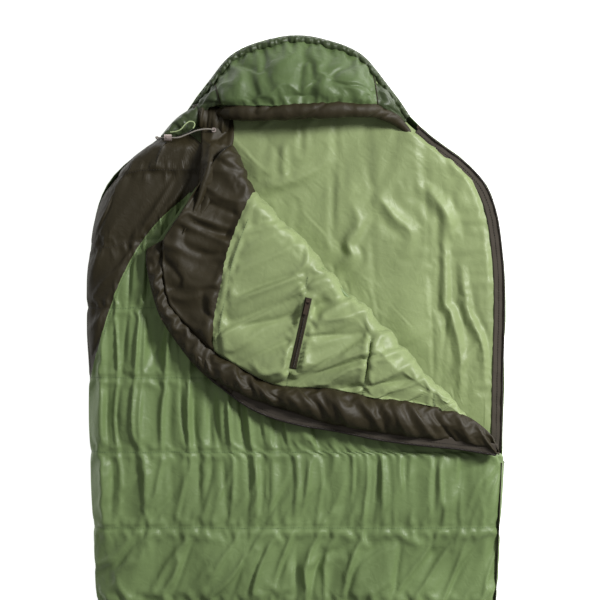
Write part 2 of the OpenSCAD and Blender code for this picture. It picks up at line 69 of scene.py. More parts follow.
def add_node(tree, kind, output, inputs, **settings):
    """Adds a shader node and returns one of its outputs."""
    node = tree.nodes.new("ShaderNode" + kind)
    for name, value in settings.items():
        setattr(node, name, value)
    feed(tree, node, inputs)
    return node.outputs[output]


def new_material(name):
    """A material, its node tree, its shader and the coordinates of the object."""
    material = bpy.data.materials.new(name)
    material.use_nodes = True
    tree = material.node_tree
    return material, tree, tree.nodes["Principled BSDF"], add_node(tree, "TexCoord", "Object", {})


def two_tones(tree, mask, colour, shares, positions=(0.0, 1.0)):
    """A colour that goes from its darker to its lighter share with a mask."""
    ramp = tree.nodes.new("ShaderNodeValToRGB")
    for stop, share, position in zip(ramp.color_ramp.elements, shares, positions):
        stop.position = position
        stop.color = (*[min(1.0, c * share) for c in colour], 1.0)
    feed(tree, ramp, {"Fac": mask})
    return ramp.outputs["Color"]


def spread(tree, mask, low, high):
    return add_node(tree, "MapRange", "Result", {"Value": mask, "To Min": low, "To Max": high})


def bump(tree, height, strength, distance, under=None):
    """Relief on top of the normal under it, or on the bare surface."""
    inputs = {"Height": height, "Strength": strength, "Distance": distance}
    if under is not None:
        inputs["Normal"] = under
    return add_node(tree, "Bump", "Normal", inputs)


def fabric(name, colour, roughness=0.42, sheen=0.25, thread=0.55, weave=0.25, crease=0.0,
           crease_angle=0.0):
    """Woven nylon: thread-scale bump, fine crinkles, slow changes of colour and
    sharp creases drawn out along one direction of the cloth."""
    material, tree, shader, place = new_material(name)
    slow = add_node(tree, "TexNoise", "Fac", {"Vector": place, "Scale": 9.0, "Detail": 5.0})
    tone = two_tones(tree, slow, colour, (0.90, 1.10), (0.3, 0.7))
    # Warp and weft
    wave = {"Vector": place, "Scale": 1.0 / (thread * MM * 20.0) * math.pi, "Distortion": 0.6}
    warp, weft = [add_node(tree, "TexWave", "Fac", wave, wave_type="BANDS", bands_direction=way)
                  for way in ("X", "Y")]
    cross = add_node(tree, "Math", "Value", {0: warp, 1: weft}, operation="MULTIPLY")
    tint = add_node(tree, "MixRGB", "Color", {"Fac": 0.10, "Color1": tone, "Color2": cross},
                    blend_type="MULTIPLY")
    crinkle = add_node(tree, "TexNoise", "Fac", {
        "Vector": place, "Scale": 55.0, "Detail": 3.0, "Distortion": 0.8})
    lie = add_node(tree, "Mapping", "Vector", {
        "Vector": place, "Rotation": (0.0, 0.0, crease_angle), "Scale": (1.0, 3.2, 1.0)},
        vector_type="TEXTURE")
    drawn = add_node(tree, "TexNoise", "Fac", {
        "Vector": lie, "Scale": 26.0, "Detail": 1.5, "Distortion": 0.5},
        noise_type="RIDGED_MULTIFRACTAL")
    normal = bump(tree, drawn, crease, 0.004)
    normal = bump(tree, crinkle, 0.35, 0.003, normal)
    normal = bump(tree, cross, weave, 0.00012, normal)
    feed(tree, shader, {
        "Base Color": tint, "Normal": normal, "Sheen Weight": sheen, "Sheen Roughness": 0.35,
        # Worn and pressed places are a little smoother than the rest.
        "Roughness": spread(tree, slow, roughness * 0.85, roughness * 1.2),
        "Specular IOR Level": 0.3})
    return material


def solid(name, colour, roughness, metallic=0.0):
    """Moulded plastic, thread or metal with a little grain and uneven polish."""
    material, tree, shader, place = new_material(name)
    grain = add_node(tree, "TexNoise", "Fac", {"Vector": place, "Scale": 120.0, "Detail": 4.0})
    feed(tree, shader, {
        "Metallic": metallic, "Base Color": two_tones(tree, grain, colour, (0.82, 1.15)),
        "Roughness": spread(tree, grain, roughness * 0.8, roughness * 1.25),
        "Normal": bump(tree, grain, 0.3, 0.0002)})
    return material


SHELL = fabric("shell_green", (0.172, 0.243, 0.094), sheen=0.12, crease=0.55)
LINING = fabric("lining_green", (0.268, 0.331, 0.148), sheen=0.12, crease=0.45, crease_angle=-0.9)
# The hood is cut from the shell's cloth; its darker green is painted shade.
SHADED_HOOD_GREEN = fabric("hood_green_painted_shade", (0.092, 0.137, 0.050), roughness=0.44, sheen=0.12, crease=0.6,
              crease_angle=0.4)
BROWN = fabric("panel_brown", (0.029, 0.0225, 0.009), roughness=0.54, sheen=0.02, crease=0.6,
               crease_angle=-0.5)
OLIVE = fabric("gusset_olive", (0.044, 0.062, 0.025), sheen=0.08, crease=0.5)
TAPE = fabric("zip_tape", (0.066, 0.055, 0.042), roughness=0.75, sheen=0.10, thread=1.0, weave=0.6)
WEBBING = fabric("webbing", (0.035, 0.027, 0.018), roughness=0.75, thread=1.4, weave=0.8)
CORD_GREY = fabric("cord_grey", (0.235, 0.215, 0.185), roughness=0.7, thread=0.9, weave=0.7)
CORD_GREEN = fabric("cord_green", (0.340, 0.420, 0.210), roughness=0.7, thread=0.9, weave=0.7)
THREAD_GREEN = solid("thread_green", (0.085, 0.145, 0.055), 0.6)
THREAD_PALE = solid("thread_pale", (0.200, 0.275, 0.125), 0.6)
THREAD_BROWN = solid("thread_brown", (0.018, 0.013, 0.008), 0.6)
COIL = solid("zip_coil", (0.022, 0.016, 0.011), 0.35)
ZIP_METAL = solid("zip_metal", (0.060, 0.042, 0.028), 0.38, metallic=0.3)
LOCK = solid("lock_metal", (0.480, 0.400, 0.370), 0.35, metallic=0.6)
SPRING = solid("spring_steel", (0.55, 0.55, 0.55), 0.3, metallic=0.9)


# ---------------------------------------------------------------- mesh helpers
def unit(vectors):
    return vectors / np.maximum(np.linalg.norm(vectors, axis=-1, keepdims=True), 1e-9)


def spans(rows, cols):
    """Grids of 0 to 1 along the rows and along the columns."""
    return np.meshgrid(np.linspace(0, 1, rows), np.linspace(0, 1, cols), indexing="ij")


def grid_faces(rows, cols, start=0, flip=False):
    """Quads of a grid whose rows run up and whose columns run right, facing up."""
    index = start + np.arange(rows * cols).reshape(rows, cols)
    quads = np.stack([index[:-1, :-1], index[:-1, 1:], index[1:, 1:], index[1:, :-1]], -1)
    quads = quads.reshape(-1, 4)
    return (quads[:, ::-1] if flip else quads).tolist()


def border(rows, cols):
    """Indices round the edge of a grid, anticlockwise seen from above."""
    index = np.arange(rows * cols).reshape(rows, cols)
    return np.concatenate([index[0, :-1], index[:-1, -1], index[-1, :0:-1], index[:0:-1, 0]])


def walls(ring_a, ring_b):
    """Quads between an upper ring and a lower one, facing out."""
    return np.stack([np.roll(ring_a, -1), ring_a, ring_b, np.roll(ring_b, -1)], -1).tolist()


def closed_from_top(grid, bottom):
    """Points and faces of a solid whose top is the grid and whose underside is
    at the height bottom, one number or one for each row, in one strip from side
    to side for each row."""
    rows, cols, _ = grid.shape
    points = grid.reshape(-1, 3)
    ring = border(rows, cols)
    low = points[ring]
    low[:, 2] = np.broadcast_to(bottom, rows)[ring // cols]
    low_ring = len(points) + np.arange(len(ring))
    below = dict(zip(ring.tolist(), low_ring.tolist()))

    def low_row(i):
        places = range(i * cols, (i + 1) * cols)
        return [below[k] for k in places if k in below]

    faces = grid_faces(rows, cols) + walls(ring, low_ring)
    faces.append([low_row(0)[0], *low_row(1), *low_row(0)[:0:-1]])
    for i in range(1, rows - 2):
        faces.append([low_row(i)[0], *low_row(i + 1), low_row(i)[1]])
    faces.append([low_row(rows - 2)[0], *low_row(rows - 1), low_row(rows - 2)[1]])
    return np.vstack([points, low]), faces


def normals_of(grid):
    return unit(np.cross(np.gradient(grid, axis=1), np.gradient(grid, axis=0)))


def facing_up(grid):
    """The grid, with its columns reversed where its middle faces down."""
    rows, cols, _ = grid.shape
    return grid[:, ::-1] if normals_of(grid)[rows // 2, cols // 2, 2] < 0 else grid


def sheet_solid(grid, thickness):
    """Points and faces of a cloth of that thickness whose outside is the grid."""
    rows, cols, _ = grid.shape
    inside = grid - normals_of(grid) * thickness
    count = rows * cols
    ring = border(rows, cols)
    faces = grid_faces(rows, cols) + grid_faces(rows, cols, count, flip=True)
    faces += walls(ring, ring + count)
    return np.vstack([grid.reshape(-1, 3), inside.reshape(-1, 3)]), faces


def split_by(points, faces, field):
    """Cuts faces along the line where the field is zero, and returns the
    (points, faces) of the positive side and of the negative side."""
    made = {}
    extra = []

    def crossing(a, b):
        key = (min(a, b), max(a, b))
        if key not in made:
            t = field[a] / (field[a] - field[b])
            made[key] = len(points) + len(extra)
            extra.append(points[a] + (points[b] - points[a]) * t)
        return made[key]

    sides = ([], [])
    positive = field >= 0
    for face in faces:
        kept = ([], [])
        for a, b in zip(face, face[1:] + face[:1]):
            kept[0 if positive[a] else 1].append(a)
            if positive[a] != positive[b]:
                cut = crossing(a, b)
                kept[0].append(cut)
                kept[1].append(cut)
        for side, part in zip(sides, kept):
            if len(part) > 2:
                side.append(part)
    everything = np.vstack([points, *extra])
    parts = []
    for side in sides:
        used = sorted({i for face in side for i in face})
        place = {old: new for new, old in enumerate(used)}
        parts.append((everything[used], [[place[i] for i in face] for face in side]))
    return parts


def distances(path):
    """How far each point of a path is from its start, along it."""
    return np.concatenate([[0], np.cumsum(np.linalg.norm(np.diff(path, axis=0), axis=1))])


def read_path(path, wanted):
    """Points of a path at the wanted distances from its start."""
    run = distances(path)
    return np.stack([np.interp(wanted, run, path[:, k]) for k in range(path.shape[1])], -1)


def boxes_along(path, length, pitch, width, height, lift=0.0):
    """Points and faces of a row of small blocks along a path, such as stitches
    or the teeth of a zip. Their width is level, across the path."""
    path = np.asarray(path, float)
    at = np.arange(pitch / 2, distances(path)[-1], pitch)
    centre = read_path(path, at)
    forward = unit(read_path(path, at + length / 2) - read_path(path, at - length / 2))
    side = unit(np.cross(forward, UP))
    up = np.cross(side, forward)
    corners = []
    # Each block is a little smaller at its top.
    for u, size in ((0, 1.0), (1, 0.8)):
        for f, s in ((-size, -size), (size, -size), (size, size), (-size, size)):
            corners.append(centre + forward * f * length / 2 + side * s * width / 2
                           + up * (lift + u * height))
    points = np.stack(corners, 1).reshape(-1, 3)
    block = [(0, 1, 2, 3), (4, 7, 6, 5), (0, 4, 5, 1), (1, 5, 6, 2), (2, 6, 7, 3), (3, 7, 4, 0)]
    faces = [[8 * n + i for i in face] for n in range(len(at)) for face in block]
    return points, faces


def rings_round(path, turn):
    """Unit vectors out from each point of a path, one for each angle round it."""
    tangent = unit(np.gradient(path, axis=0))
    side = unit(np.cross(tangent, UP))
    up = np.cross(side, tangent)
    return side[:, None] * np.cos(turn)[:, None] + up[:, None] * np.sin(turn)[:, None]


def tube_along(path, radius, sides=10):
    """Points and faces of a round tube along a path, closed at both ends. The
    radius is one number or one for each point."""
    path = np.asarray(path, float)
    count = len(path)
    size = np.ones(count) * radius
    ring = rings_round(path, np.linspace(0, 2 * math.pi, sides, endpoint=False))
    index = np.arange(count * sides).reshape(count, sides)
    after = np.roll(index, -1, axis=1)
    quads = np.stack([index[:-1], after[:-1], after[1:], index[1:]], -1)
    ends = [index[0, ::-1].tolist(), index[-1].tolist()]
    return ((path[:, None] + ring * size[:, None, None]).reshape(-1, 3),
            quads.reshape(-1, 4).tolist() + ends)


def join_parts(parts):
    """One (points, faces) from several."""
    faces = []
    start = 0
    for part_points, part_faces in parts:
        faces.extend([[i + start for i in face] for face in part_faces])
        start += len(part_points)
    return np.vstack([part_points for part_points, _ in parts]), faces


def make_piece(name, shape, material, body="bag", nodes=(), bend=None):
    """Makes a mesh from (points, faces) with the given material, attaches it to a
    body and hides the CAD nodes that it stands for. A piece with a bend rides on
    no body and keeps its place in the world."""
    points, faces = shape
    mesh = bpy.data.meshes.new(name)
    mesh.from_pydata((np.asarray(points, float) * MM).tolist(), [], faces)
    mesh.polygons.foreach_set("use_smooth", [True] * len(mesh.polygons))
    mesh.materials.append(material)
    mesh.update()
    piece = bpy.data.objects.new(name, mesh)
    bpy.context.scene.collection.objects.link(piece)
    if bend:
        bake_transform(piece)
    else:
        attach(piece, body)
    # Blender numbers a material whose name the CAD model already uses.
    if nodes:
        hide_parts(*nodes)
    return piece


# ---------------------------------------------------------------- curves
def smooth_curve(stations):
    """A function that reads a smooth curve through [x, value] stations."""
    xs, values = np.array(stations, float).T
    slopes = np.empty(len(xs))
    slopes[1:-1] = (values[2:] - values[:-2]) / (xs[2:] - xs[:-2])
    slopes[0] = (values[1] - values[0]) / (xs[1] - xs[0])
    slopes[-1] = (values[-1] - values[-2]) / (xs[-1] - xs[-2])

    def read(x):
        x = np.asarray(x, float)
        i = np.clip(np.searchsorted(xs, x, side="right") - 1, 0, len(xs) - 2)
        h = xs[i + 1] - xs[i]
        t = np.clip((x - xs[i]) / h, -0.5, 1.5)
        return (values[i] * (1 + 2 * t) * (1 - t) ** 2 + values[i + 1] * t * t * (3 - 2 * t)
                + h * slopes[i] * t * (1 - t) ** 2 - h * slopes[i + 1] * t * t * (1 - t))
    return read


def smooth_path(points, count):
    """Points evenly spaced along a smooth line through a route."""
    points = np.array(points, float)
    routed = np.vstack([points[:1], points, points[-1:]])
    t = (np.arange(24) / 24)[:, None]
    dense = []
    for a, b, c, d in zip(routed, routed[1:], routed[2:], routed[3:]):
        dense.append((2 * b + (c - a) * t + (2 * a - 5 * b + 4 * c - d) * t ** 2
                      + (3 * b - a - 3 * c + d) * t ** 3) / 2)
    dense = np.vstack(dense + [points[-1:]])
    return read_path(dense, np.linspace(0, distances(dense)[-1], count))


def ease(x, low, high):
    """0 below low, 1 above high and smooth between."""
    t = np.clip((np.asarray(x, float) - low) / (high - low), 0, 1)
    return t * t * (3 - 2 * t)


def hills(u, v, seed):
    """Smooth random heights, about -1 to 1, over a plane whose hills are about
    one unit of u by one unit of v."""
    u = u - u.min()
    v = v - v.min()
    rng = np.random.default_rng(seed)
    knots = rng.uniform(-1, 1, (int(u.max()) + 5, int(v.max()) + 5))
    i = u.astype(int)
    j = v.astype(int)

    def weights(t):
        return [(1 - t) ** 3 / 6, (3 * t ** 3 - 6 * t ** 2 + 4) / 6,
                (-3 * t ** 3 + 3 * t ** 2 + 3 * t + 1) / 6, t ** 3 / 6]
    total = 0.0
    for a, weight_u in enumerate(weights(u - i)):
        for b, weight_v in enumerate(weights(v - j)):
            total = total + knots[i + a, j + b] * weight_u * weight_v
    return total * 1.8


def creases(u, v, seed):
    """Narrow crests, 0 to 1, along the lines where hills changes its sign."""
    return np.exp(-np.abs(hills(u, v, seed)) / CREASE_WIDTH)


def hump(x, half):
    """1 where x is 0, and less the further it is from there."""
    return np.exp(-(x / half) ** 2)


# ---------------------------------------------------------------- cloth
def settle(start, pinned, excess_u, excess_v, stiffness, steps, weight=0.0, floor=-np.inf,
           ceiling=np.inf):
    """Lets a grid of cloth find its own folds. Every thread between two
    neighbours keeps the length it has at the start times its excess, so cloth
    with an excess has to buckle. Excess_u is along the rows and excess_v from
    row to row. Weight pulls down, and stiffness resists sharp bends. The cloth
    stays between floor and ceiling. Pinned points stay."""
    rows, cols, _ = start.shape
    excess_u = np.ones((rows, cols)) * excess_u
    excess_v = np.ones((rows, cols)) * excess_v
    free = np.where(pinned, 0.0, 1.0)
    families = []

    def add(di, dj, parts, strength, push_only):
        """Threads from each point to the one di rows and dj columns on. Each of
        the two families takes every other run of parts points, so that no point
        is in it twice."""
        scale = excess_u if di == 0 else (excess_v if dj == 0 else (excess_u + excess_v) / 2)
        rows_a = np.arange(rows - di)
        cols_a = np.arange(max(0, -dj), cols - max(0, dj))
        for k in (0, 1):
            i = rows_a[rows_a // parts % 2 == k] if di else rows_a
            j = cols_a if di else cols_a[cols_a // parts % 2 == k]
            a = np.ix_(i, j)
            b = np.ix_(i + di, j + dj)
            rest = np.linalg.norm(start[b] - start[a], axis=-1) * scale[a]
            total = np.maximum(free[a] + free[b], 1e-9)
            families.append((a, b, rest, (strength * free[a] / total)[..., None],
                             (strength * free[b] / total)[..., None], push_only))

    add(0, 1, 1, 1.0, False)
    add(1, 0, 1, 1.0, False)
    add(1, 1, 1, 0.5, False)
    add(1, -1, 1, 0.5, False)
    add(0, 2, 2, stiffness, True)
    add(2, 0, 2, stiffness, True)

    cloth = start.copy()
    before = start.copy()
    for _ in range(max(10, int(steps * EFFORT))):
        moved = cloth + (cloth - before) * DRAG * free[..., None]
        moved[..., 2] -= weight * free
        before = cloth
        cloth = moved
        for a, b, rest, share_a, share_b, push_only in families:
            gap = cloth[b] - cloth[a]
            length = np.sqrt(np.einsum("ijk,ijk->ij", gap, gap))
            error = length - rest
            if push_only:
                error = np.minimum(error, 0.0)
            pull = (error / np.maximum(length, 1e-6))[..., None] * gap
            cloth[a] += pull * share_a
            cloth[b] -= pull * share_b
        kept_in = np.minimum(np.maximum(cloth[..., 2], floor), ceiling)
        cloth[..., 2] = np.where(pinned, cloth[..., 2], kept_in)
    # One pass of smoothing
    mean = cloth.copy()
    mean[1:-1, 1:-1] = (cloth[:-2, 1:-1] + cloth[2:, 1:-1] + cloth[1:-1, :-2] + cloth[1:-1, 2:]) / 4
    return cloth + (mean - cloth) * 0.5 * free[..., None]


def edges_pinned(rows, cols):
    pinned = np.ones((rows, cols), bool)
    pinned[1:-1, 1:-1] = False
    return pinned


def sew(grid, pinned, offset, direction, depth, where=True):
    """Sews a seam across the rows of a grid. Offset says how far each point is
    past the seam, direction is the way that offset grows, and in each row the
    nearest point moves onto the seam, depth lower, and stays."""
    lower = depth * hump(offset, 8.0)
    where = np.broadcast_to(where, offset.shape)
    for i, j in enumerate(np.argmin(np.abs(offset), axis=1)):
        if 2 <= j <= grid.shape[1] - 3 and where[i, j]:
            grid[i, :, 2] -= lower[i]
            grid[i, j] -= offset[i, j] * np.asarray(direction, float)
            pinned[i, j] = True


def crowned_band(left, right, base, height, rows, cols, seed, excess_along=1.08, excess_across=1.03,
                 fold_along=14.0, fold_across=40.0, slant=0.8, rough=2.0, steps=160, fullness=0.6,
                 stiffness=0.3):
    """A puffed strip between two edge lines, gathered along its length. Base
    and height may be one number or one for each row. The grid's rows run from
    the start of the lines, and its columns from side to side so that it faces up."""
    left = smooth_path(left, rows)
    right = smooth_path(right, rows)
    run, share = spans(rows, cols)
    base = (np.ones(rows) * base)[:, None]
    height = (np.ones(rows) * height)[:, None]
    ends = np.sin(np.pi * np.clip(run, 0.02, 0.98)) ** 0.35
    crown = np.sin(np.pi * share) ** fullness
    place = left[:, None] + (right - left)[:, None] * share[..., None]
    start = np.dstack([place, base + height * ends * crown])
    length = np.linalg.norm(np.diff(left, axis=0), axis=1).sum()
    width = np.linalg.norm(right - left, axis=1).mean()
    v = share * width / fold_across
    u = run * length / fold_along + v * slant
    bumps = (hills(u, v * 0.5, seed) * 0.7 + creases(u * 0.7, v * 0.4, seed + 1) * 0.6
             - creases(u * 0.6, v * 0.4, seed + 2) * 0.5 + hills(u * 2.3, v, seed + 3) * 0.25)
    start += normals_of(start) * (rough * bumps * crown)[..., None]
    return facing_up(settle(
        start, edges_pinned(rows, cols), excess_u=excess_across, excess_v=excess_along,
        floor=start[..., 2] - 2.0, stiffness=stiffness, steps=steps))


# ---------------------------------------------------------------- camera, light, floor
# The view is framed at the height where most of the cloth lies.
VIEW_CENTRE = (5.7, 593.0, 70.0)
VIEW_WIDTH = 1140.0
LENS = 100.0
SENSOR = 36.0


def link_object(name, data, location):
    item = bpy.data.objects.new(name, data)
    item.location = location
    bpy.context.scene.collection.objects.link(item)
    return item


def make_camera():
    data = bpy.data.cameras.new("camera")
    data.lens = LENS
    data.sensor_width = SENSOR
    place = np.array(VIEW_CENTRE) + UP * VIEW_WIDTH * LENS / SENSOR
    bpy.context.scene.camera = link_object("camera", data, place * MM)


def make_light(name, location, size, power):
    """Square lamp that shines at the middle of the bag."""
    data = bpy.data.lights.new(name, "AREA")
    data.size = size
    data.energy = power
    x, y, z = np.array([0.0, 0.5, 0.0]) - np.array(location)
    light = link_object(name, data, location)
    light.rotation_euler = (math.atan2(math.hypot(x, y), -z), 0.0, math.atan2(x, -y) + math.pi)


def make_world():
    world = bpy.data.worlds.new("soft_room")
    world.use_nodes = True
    background = world.node_tree.nodes["Background"]
    background.inputs["Color"].default_value = (1.0, 1.0, 1.0, 1.0)
    background.inputs["Strength"].default_value = 0.22
    bpy.context.scene.world = world
    bpy.context.scene.view_settings.view_transform = "Standard"


def make_floor():
    half = 9.0
    mesh = bpy.data.meshes.new("floor")
    corners = [(-half, -half, 0), (half, -half, 0), (half, half, 0), (-half, half, 0)]
    mesh.from_pydata(corners, [], [(0, 1, 2, 3)])
    material = bpy.data.materials.new("floor_white")
    material.use_nodes = True
    feed(material.node_tree, material.node_tree.nodes["Principled BSDF"], {
        "Base Color": (0.9, 0.9, 0.9, 1.0), "Roughness": 0.9, "Specular IOR Level": 0.1,
        "Emission Color": (1.0, 1.0, 1.0, 1.0), "Emission Strength": 0.85})
    mesh.materials.append(material)
    link_object("floor", mesh, (0, 0, -0.0005))


make_camera()

# ---------------------------------------------------------------- cords at the neck
HOOD_CORD = [
    (-262, 900, 84), (-250, 900, 84), (-238, 900, 84), (-230, 900, 84), (-222, 901, 84),
    (-207, 907, 83), (-190, 914, 81), (-174, 917, 78), (-164, 917, 75), (-158, 916, 73)]
HOOD_CORD_D = 2.6
NECK_LOOP = [
    (-240, 911, 80), (-230, 912, 81), (-220, 916, 82), (-212, 925, 82),
    (-204, 931, 80), (-196, 930, 79), (-194, 924, 80), (-197, 918, 81)]
NECK_LOOP_D = 2.4
KNOT_CENTRE = (-265.0, 900, 84)
KNOT_SIZE = 0.62


def make_cord(name, route, diameter, material, node, with_pieces=()):
    """A braided cord: its surface swells and narrows a little with the braid."""
    path = smooth_path(route, 160)
    length = float(distances(path)[-1])
    braid = 1 + 0.05 * np.sin(np.linspace(0, length / 1.6 * 2 * math.pi, len(path)))
    piece = make_piece(name, tube_along(path, diameter / 2 * braid), material, nodes=[node])


def make_knot():
    """Overhand knot in the end of the draw cord."""
    turn = np.linspace(0, 2 * math.pi, 72, endpoint=False)
    lobes = np.stack([np.sin(turn) + 2 * np.sin(2 * turn), np.cos(turn) - 2 * np.cos(2 * turn),
                      -np.sin(3 * turn) * 1.3], -1)
    path = np.array(KNOT_CENTRE) + np.vstack([lobes, lobes[:1]]) * KNOT_SIZE
    return make_piece("hood_cord_end_knot", tube_along(path, 1.6, sides=8), CORD_GREY,
                      nodes=["hood_cord_knot"])


make_cord("hood_draw_cord", HOOD_CORD, HOOD_CORD_D, CORD_GREY, "hood_cord", [make_knot()])
make_cord("neck_loop_line", NECK_LOOP, NECK_LOOP_D, CORD_GREEN, "neck_loop_cord")

make_world()
make_floor()
make_light("key", (2.3, 1.9, 2.1), 0.8, 143.0)
make_light("second", (-1.8, 2.6, 2.8), 1.2, 8.0)


# ---------------------------------------------------------------- shape of the bag
# Half width of the bag along it
half_width = smooth_curve([
    (-1083, 110), (-1070, 178), (-1040, 226), (-975, 262), (-850, 290), (-600, 333),
    (-450, 352), (-330, 366), (-200, 371.7), (0, 380.5), (283, 393), (450, 397), (610, 400),
    (700, 394), (770, 382), (820, 360), (860, 322), (900, 268), (940, 222), (980, 194),
    (1020, 163), (1045, 144), (1062, 127), (1078, 100), (1091, 62), (1099, 24)])
FOOT_Y = -1083.0
NECK_Y = 930.0
TOP_Y = 1100.0
# The main zip is closed below this range and open above it.
ZIP_OPENS = (283, 330)
# Height of the side seam, and of the front panel away from it
SEAM_Z = 44.0
FRONT_Z = 78.0
# The front panel stays below this height where the flap lies on it.
UNDER_FLAP_Z = 84.0
SEAMS = np.array([
    -985, -840, -695, -550, -405, -265, -125, 15, 160, 304, 445, 578, 709, 840], float)
FOLD_START = np.array([-78.0, 800.0])
FOLD_END = np.array([386.0, 306.0])
FOLD_Z = 87.6
FOLD_DIR = (FOLD_END - FOLD_START) / np.linalg.norm(FOLD_END - FOLD_START)
FOLD_SIDE = np.array([-FOLD_DIR[1], FOLD_DIR[0]])
FOLD_LENGTH = float(np.linalg.norm(FOLD_END - FOLD_START))
NECK_CORNER = np.array([-146.5, 873.0])
NECK_TIP = np.array([-218.0, 930.0])
# Outline of the folded flap: (along the fold, away from the fold)
FLAP_EDGE = [
    (-56, 224), (-39, 247), (13, 278), (58, 297), (128, 308), (193, 308), (272, 297),
    (324, 279), (380, 246), (439, 201), (504, 155), (565, 105), (624, 54), (676, 14)]


def fold_x(y):
    """Where the fold, and above it the neck edge, crosses the bag at y."""
    line = FOLD_START[0] + (y - FOLD_START[1]) * FOLD_DIR[0] / FOLD_DIR[1]
    neck = np.interp(y, [NECK_CORNER[1], NECK_TIP[1]], [NECK_CORNER[0], NECK_TIP[0]])
    return np.where(y < NECK_CORNER[1], line, neck) - 2.0


def from_fold(a, e, h):
    """Bag coordinates of a point a along the fold, e to the folded side of it
    and h above it."""
    a, e, h = np.broadcast_arrays(a, e, h)
    x = FOLD_START[0] + a * FOLD_DIR[0] - e * FOLD_SIDE[0]
    y = FOLD_START[1] + a * FOLD_DIR[1] - e * FOLD_SIDE[1]
    return np.stack([x, y, FOLD_Z + h], -1)


def on_flap(line):
    """Places on the bag of a list of (along the fold, away from the fold)."""
    return from_fold(*np.array(line, float).T, 0)[:, :2]


def to_fold(x, y):
    """(a, e) of a place on the bag."""
    dx = x - FOLD_START[0]
    dy = y - FOLD_START[1]
    return dx * FOLD_DIR[0] + dy * FOLD_DIR[1], -(dx * FOLD_SIDE[0] + dy * FOLD_SIDE[1])


def cross_section(left, right, z_left, z_right, z_top, roll_left, roll_right, cols):
    """Evenly spaced (x, z) from the left seam over the top to the right seam."""
    turn = np.linspace(0, math.pi / 2, 18)
    upward = np.column_stack([left + roll_left * (1 - np.cos(turn)),
                              z_left + (z_top - z_left) * np.sin(turn)])
    downward = np.column_stack([right - roll_right * (1 - np.cos(turn[::-1])),
                                z_right + (z_top - z_right) * np.sin(turn[::-1])])
    line = np.vstack([upward, downward])
    return read_path(line, np.linspace(0, distances(line)[-1], cols)).T


def rounding(gap, radius):
    """Height of a quarter circle, 0 to 1, at a gap from the end of the bag."""
    return math.sqrt(max(0.0, 1 - max(0.0, 1 - gap / radius) ** 2))


# ---------------------------------------------------------------- front panel
FRONT_COLS = 250
FOOT_ROUND = 46.0
# Width of the rounding at a closed side, and how much of it an open side loses
SIDE_ROUND = 40
RIGHT_ROUND = 44
OPEN_LOSS = 34
# Edge between the green shell and the brown shoulder panel: x at y
shoulder_x = smooth_curve([
    (375, -412), (440, -396), (510, -376), (580, -355), (640, -333), (690, -306),
    (730, -275), (765, -240), (785, -216), (796, -201), (806, -140), (816, -60), (840, 60)])


def front_rows(fine, coarse):
    """Rows along the front panel, closer together in the upper half, and the
    numbers of the rows that lie on seams."""
    rows = list(FOOT_Y + FOOT_ROUND * (1 - np.cos(np.linspace(0, math.pi / 2, 12))))
    rows += list(np.linspace(rows[-1], SEAMS[0], 8)[1:])
    on_seam = [len(rows) - 1]
    for low, high in zip(SEAMS[:-1], SEAMS[1:]):
        rows += list(np.linspace(low, high, (coarse if high < 0 else fine) + 1)[1:])
        on_seam.append(len(rows) - 1)
    rows += list(np.linspace(SEAMS[-1], NECK_Y, 20)[1:])
    return np.array(rows), on_seam


def front_shape(rows_y):
    """Front panel without folds, and how flat and how puffed each place is."""
    grid = np.zeros((len(rows_y), FRONT_COLS, 3))
    for row, y in zip(grid, rows_y):
        open_side = float(ease(y, *ZIP_OPENS))
        left = -float(half_width(y))
        right = -left - 1.0
        if y > 300:
            right = min(right, float(fold_x(y)) - 11)
        top = SEAM_Z + (FRONT_Z - SEAM_Z) * rounding(y - FOOT_Y, FOOT_ROUND)
        edge_right = SEAM_Z + (top - SEAM_Z) * open_side
        row[:, 0], row[:, 2] = cross_section(
            left, right, SEAM_Z, edge_right, top, SIDE_ROUND,
            RIGHT_ROUND - OPEN_LOSS * open_side, FRONT_COLS)
        row[:, 1] = y
    x, y = grid[..., 0], grid[..., 1].copy()
    upto = np.clip(np.searchsorted(SEAMS, y) - 1, 0, len(SEAMS) - 2)
    phase = np.clip((y - SEAMS[upto]) / (SEAMS[upto + 1] - SEAMS[upto]), 0, 1)
    channel = np.where((y > SEAMS[0]) & (y < SEAMS[-1]), np.sin(np.pi * phase) ** 0.65, 0.8)
    flat = np.clip((grid[..., 2] - SEAM_Z) / (FRONT_Z - SEAM_Z), 0, 1)
    grid[..., 2] += (channel * 6 - 4) * flat
    # The hood's corner lies over the panel here.
    corner = ease(y, 880, 915) * ease(-x, 180, 212)
    flat *= 1 - corner
    grid[..., 2] += (SEAM_Z + 3 - grid[..., 2]) * corner
    # Seams droop towards the left shoulder.
    past = np.clip((-x - 268) / 85, 0, 1)
    grid[..., 1] -= 16 * past ** 2 * ease(y, 560, 700) * ease(-y, -925, -880)
    return grid, flat, channel


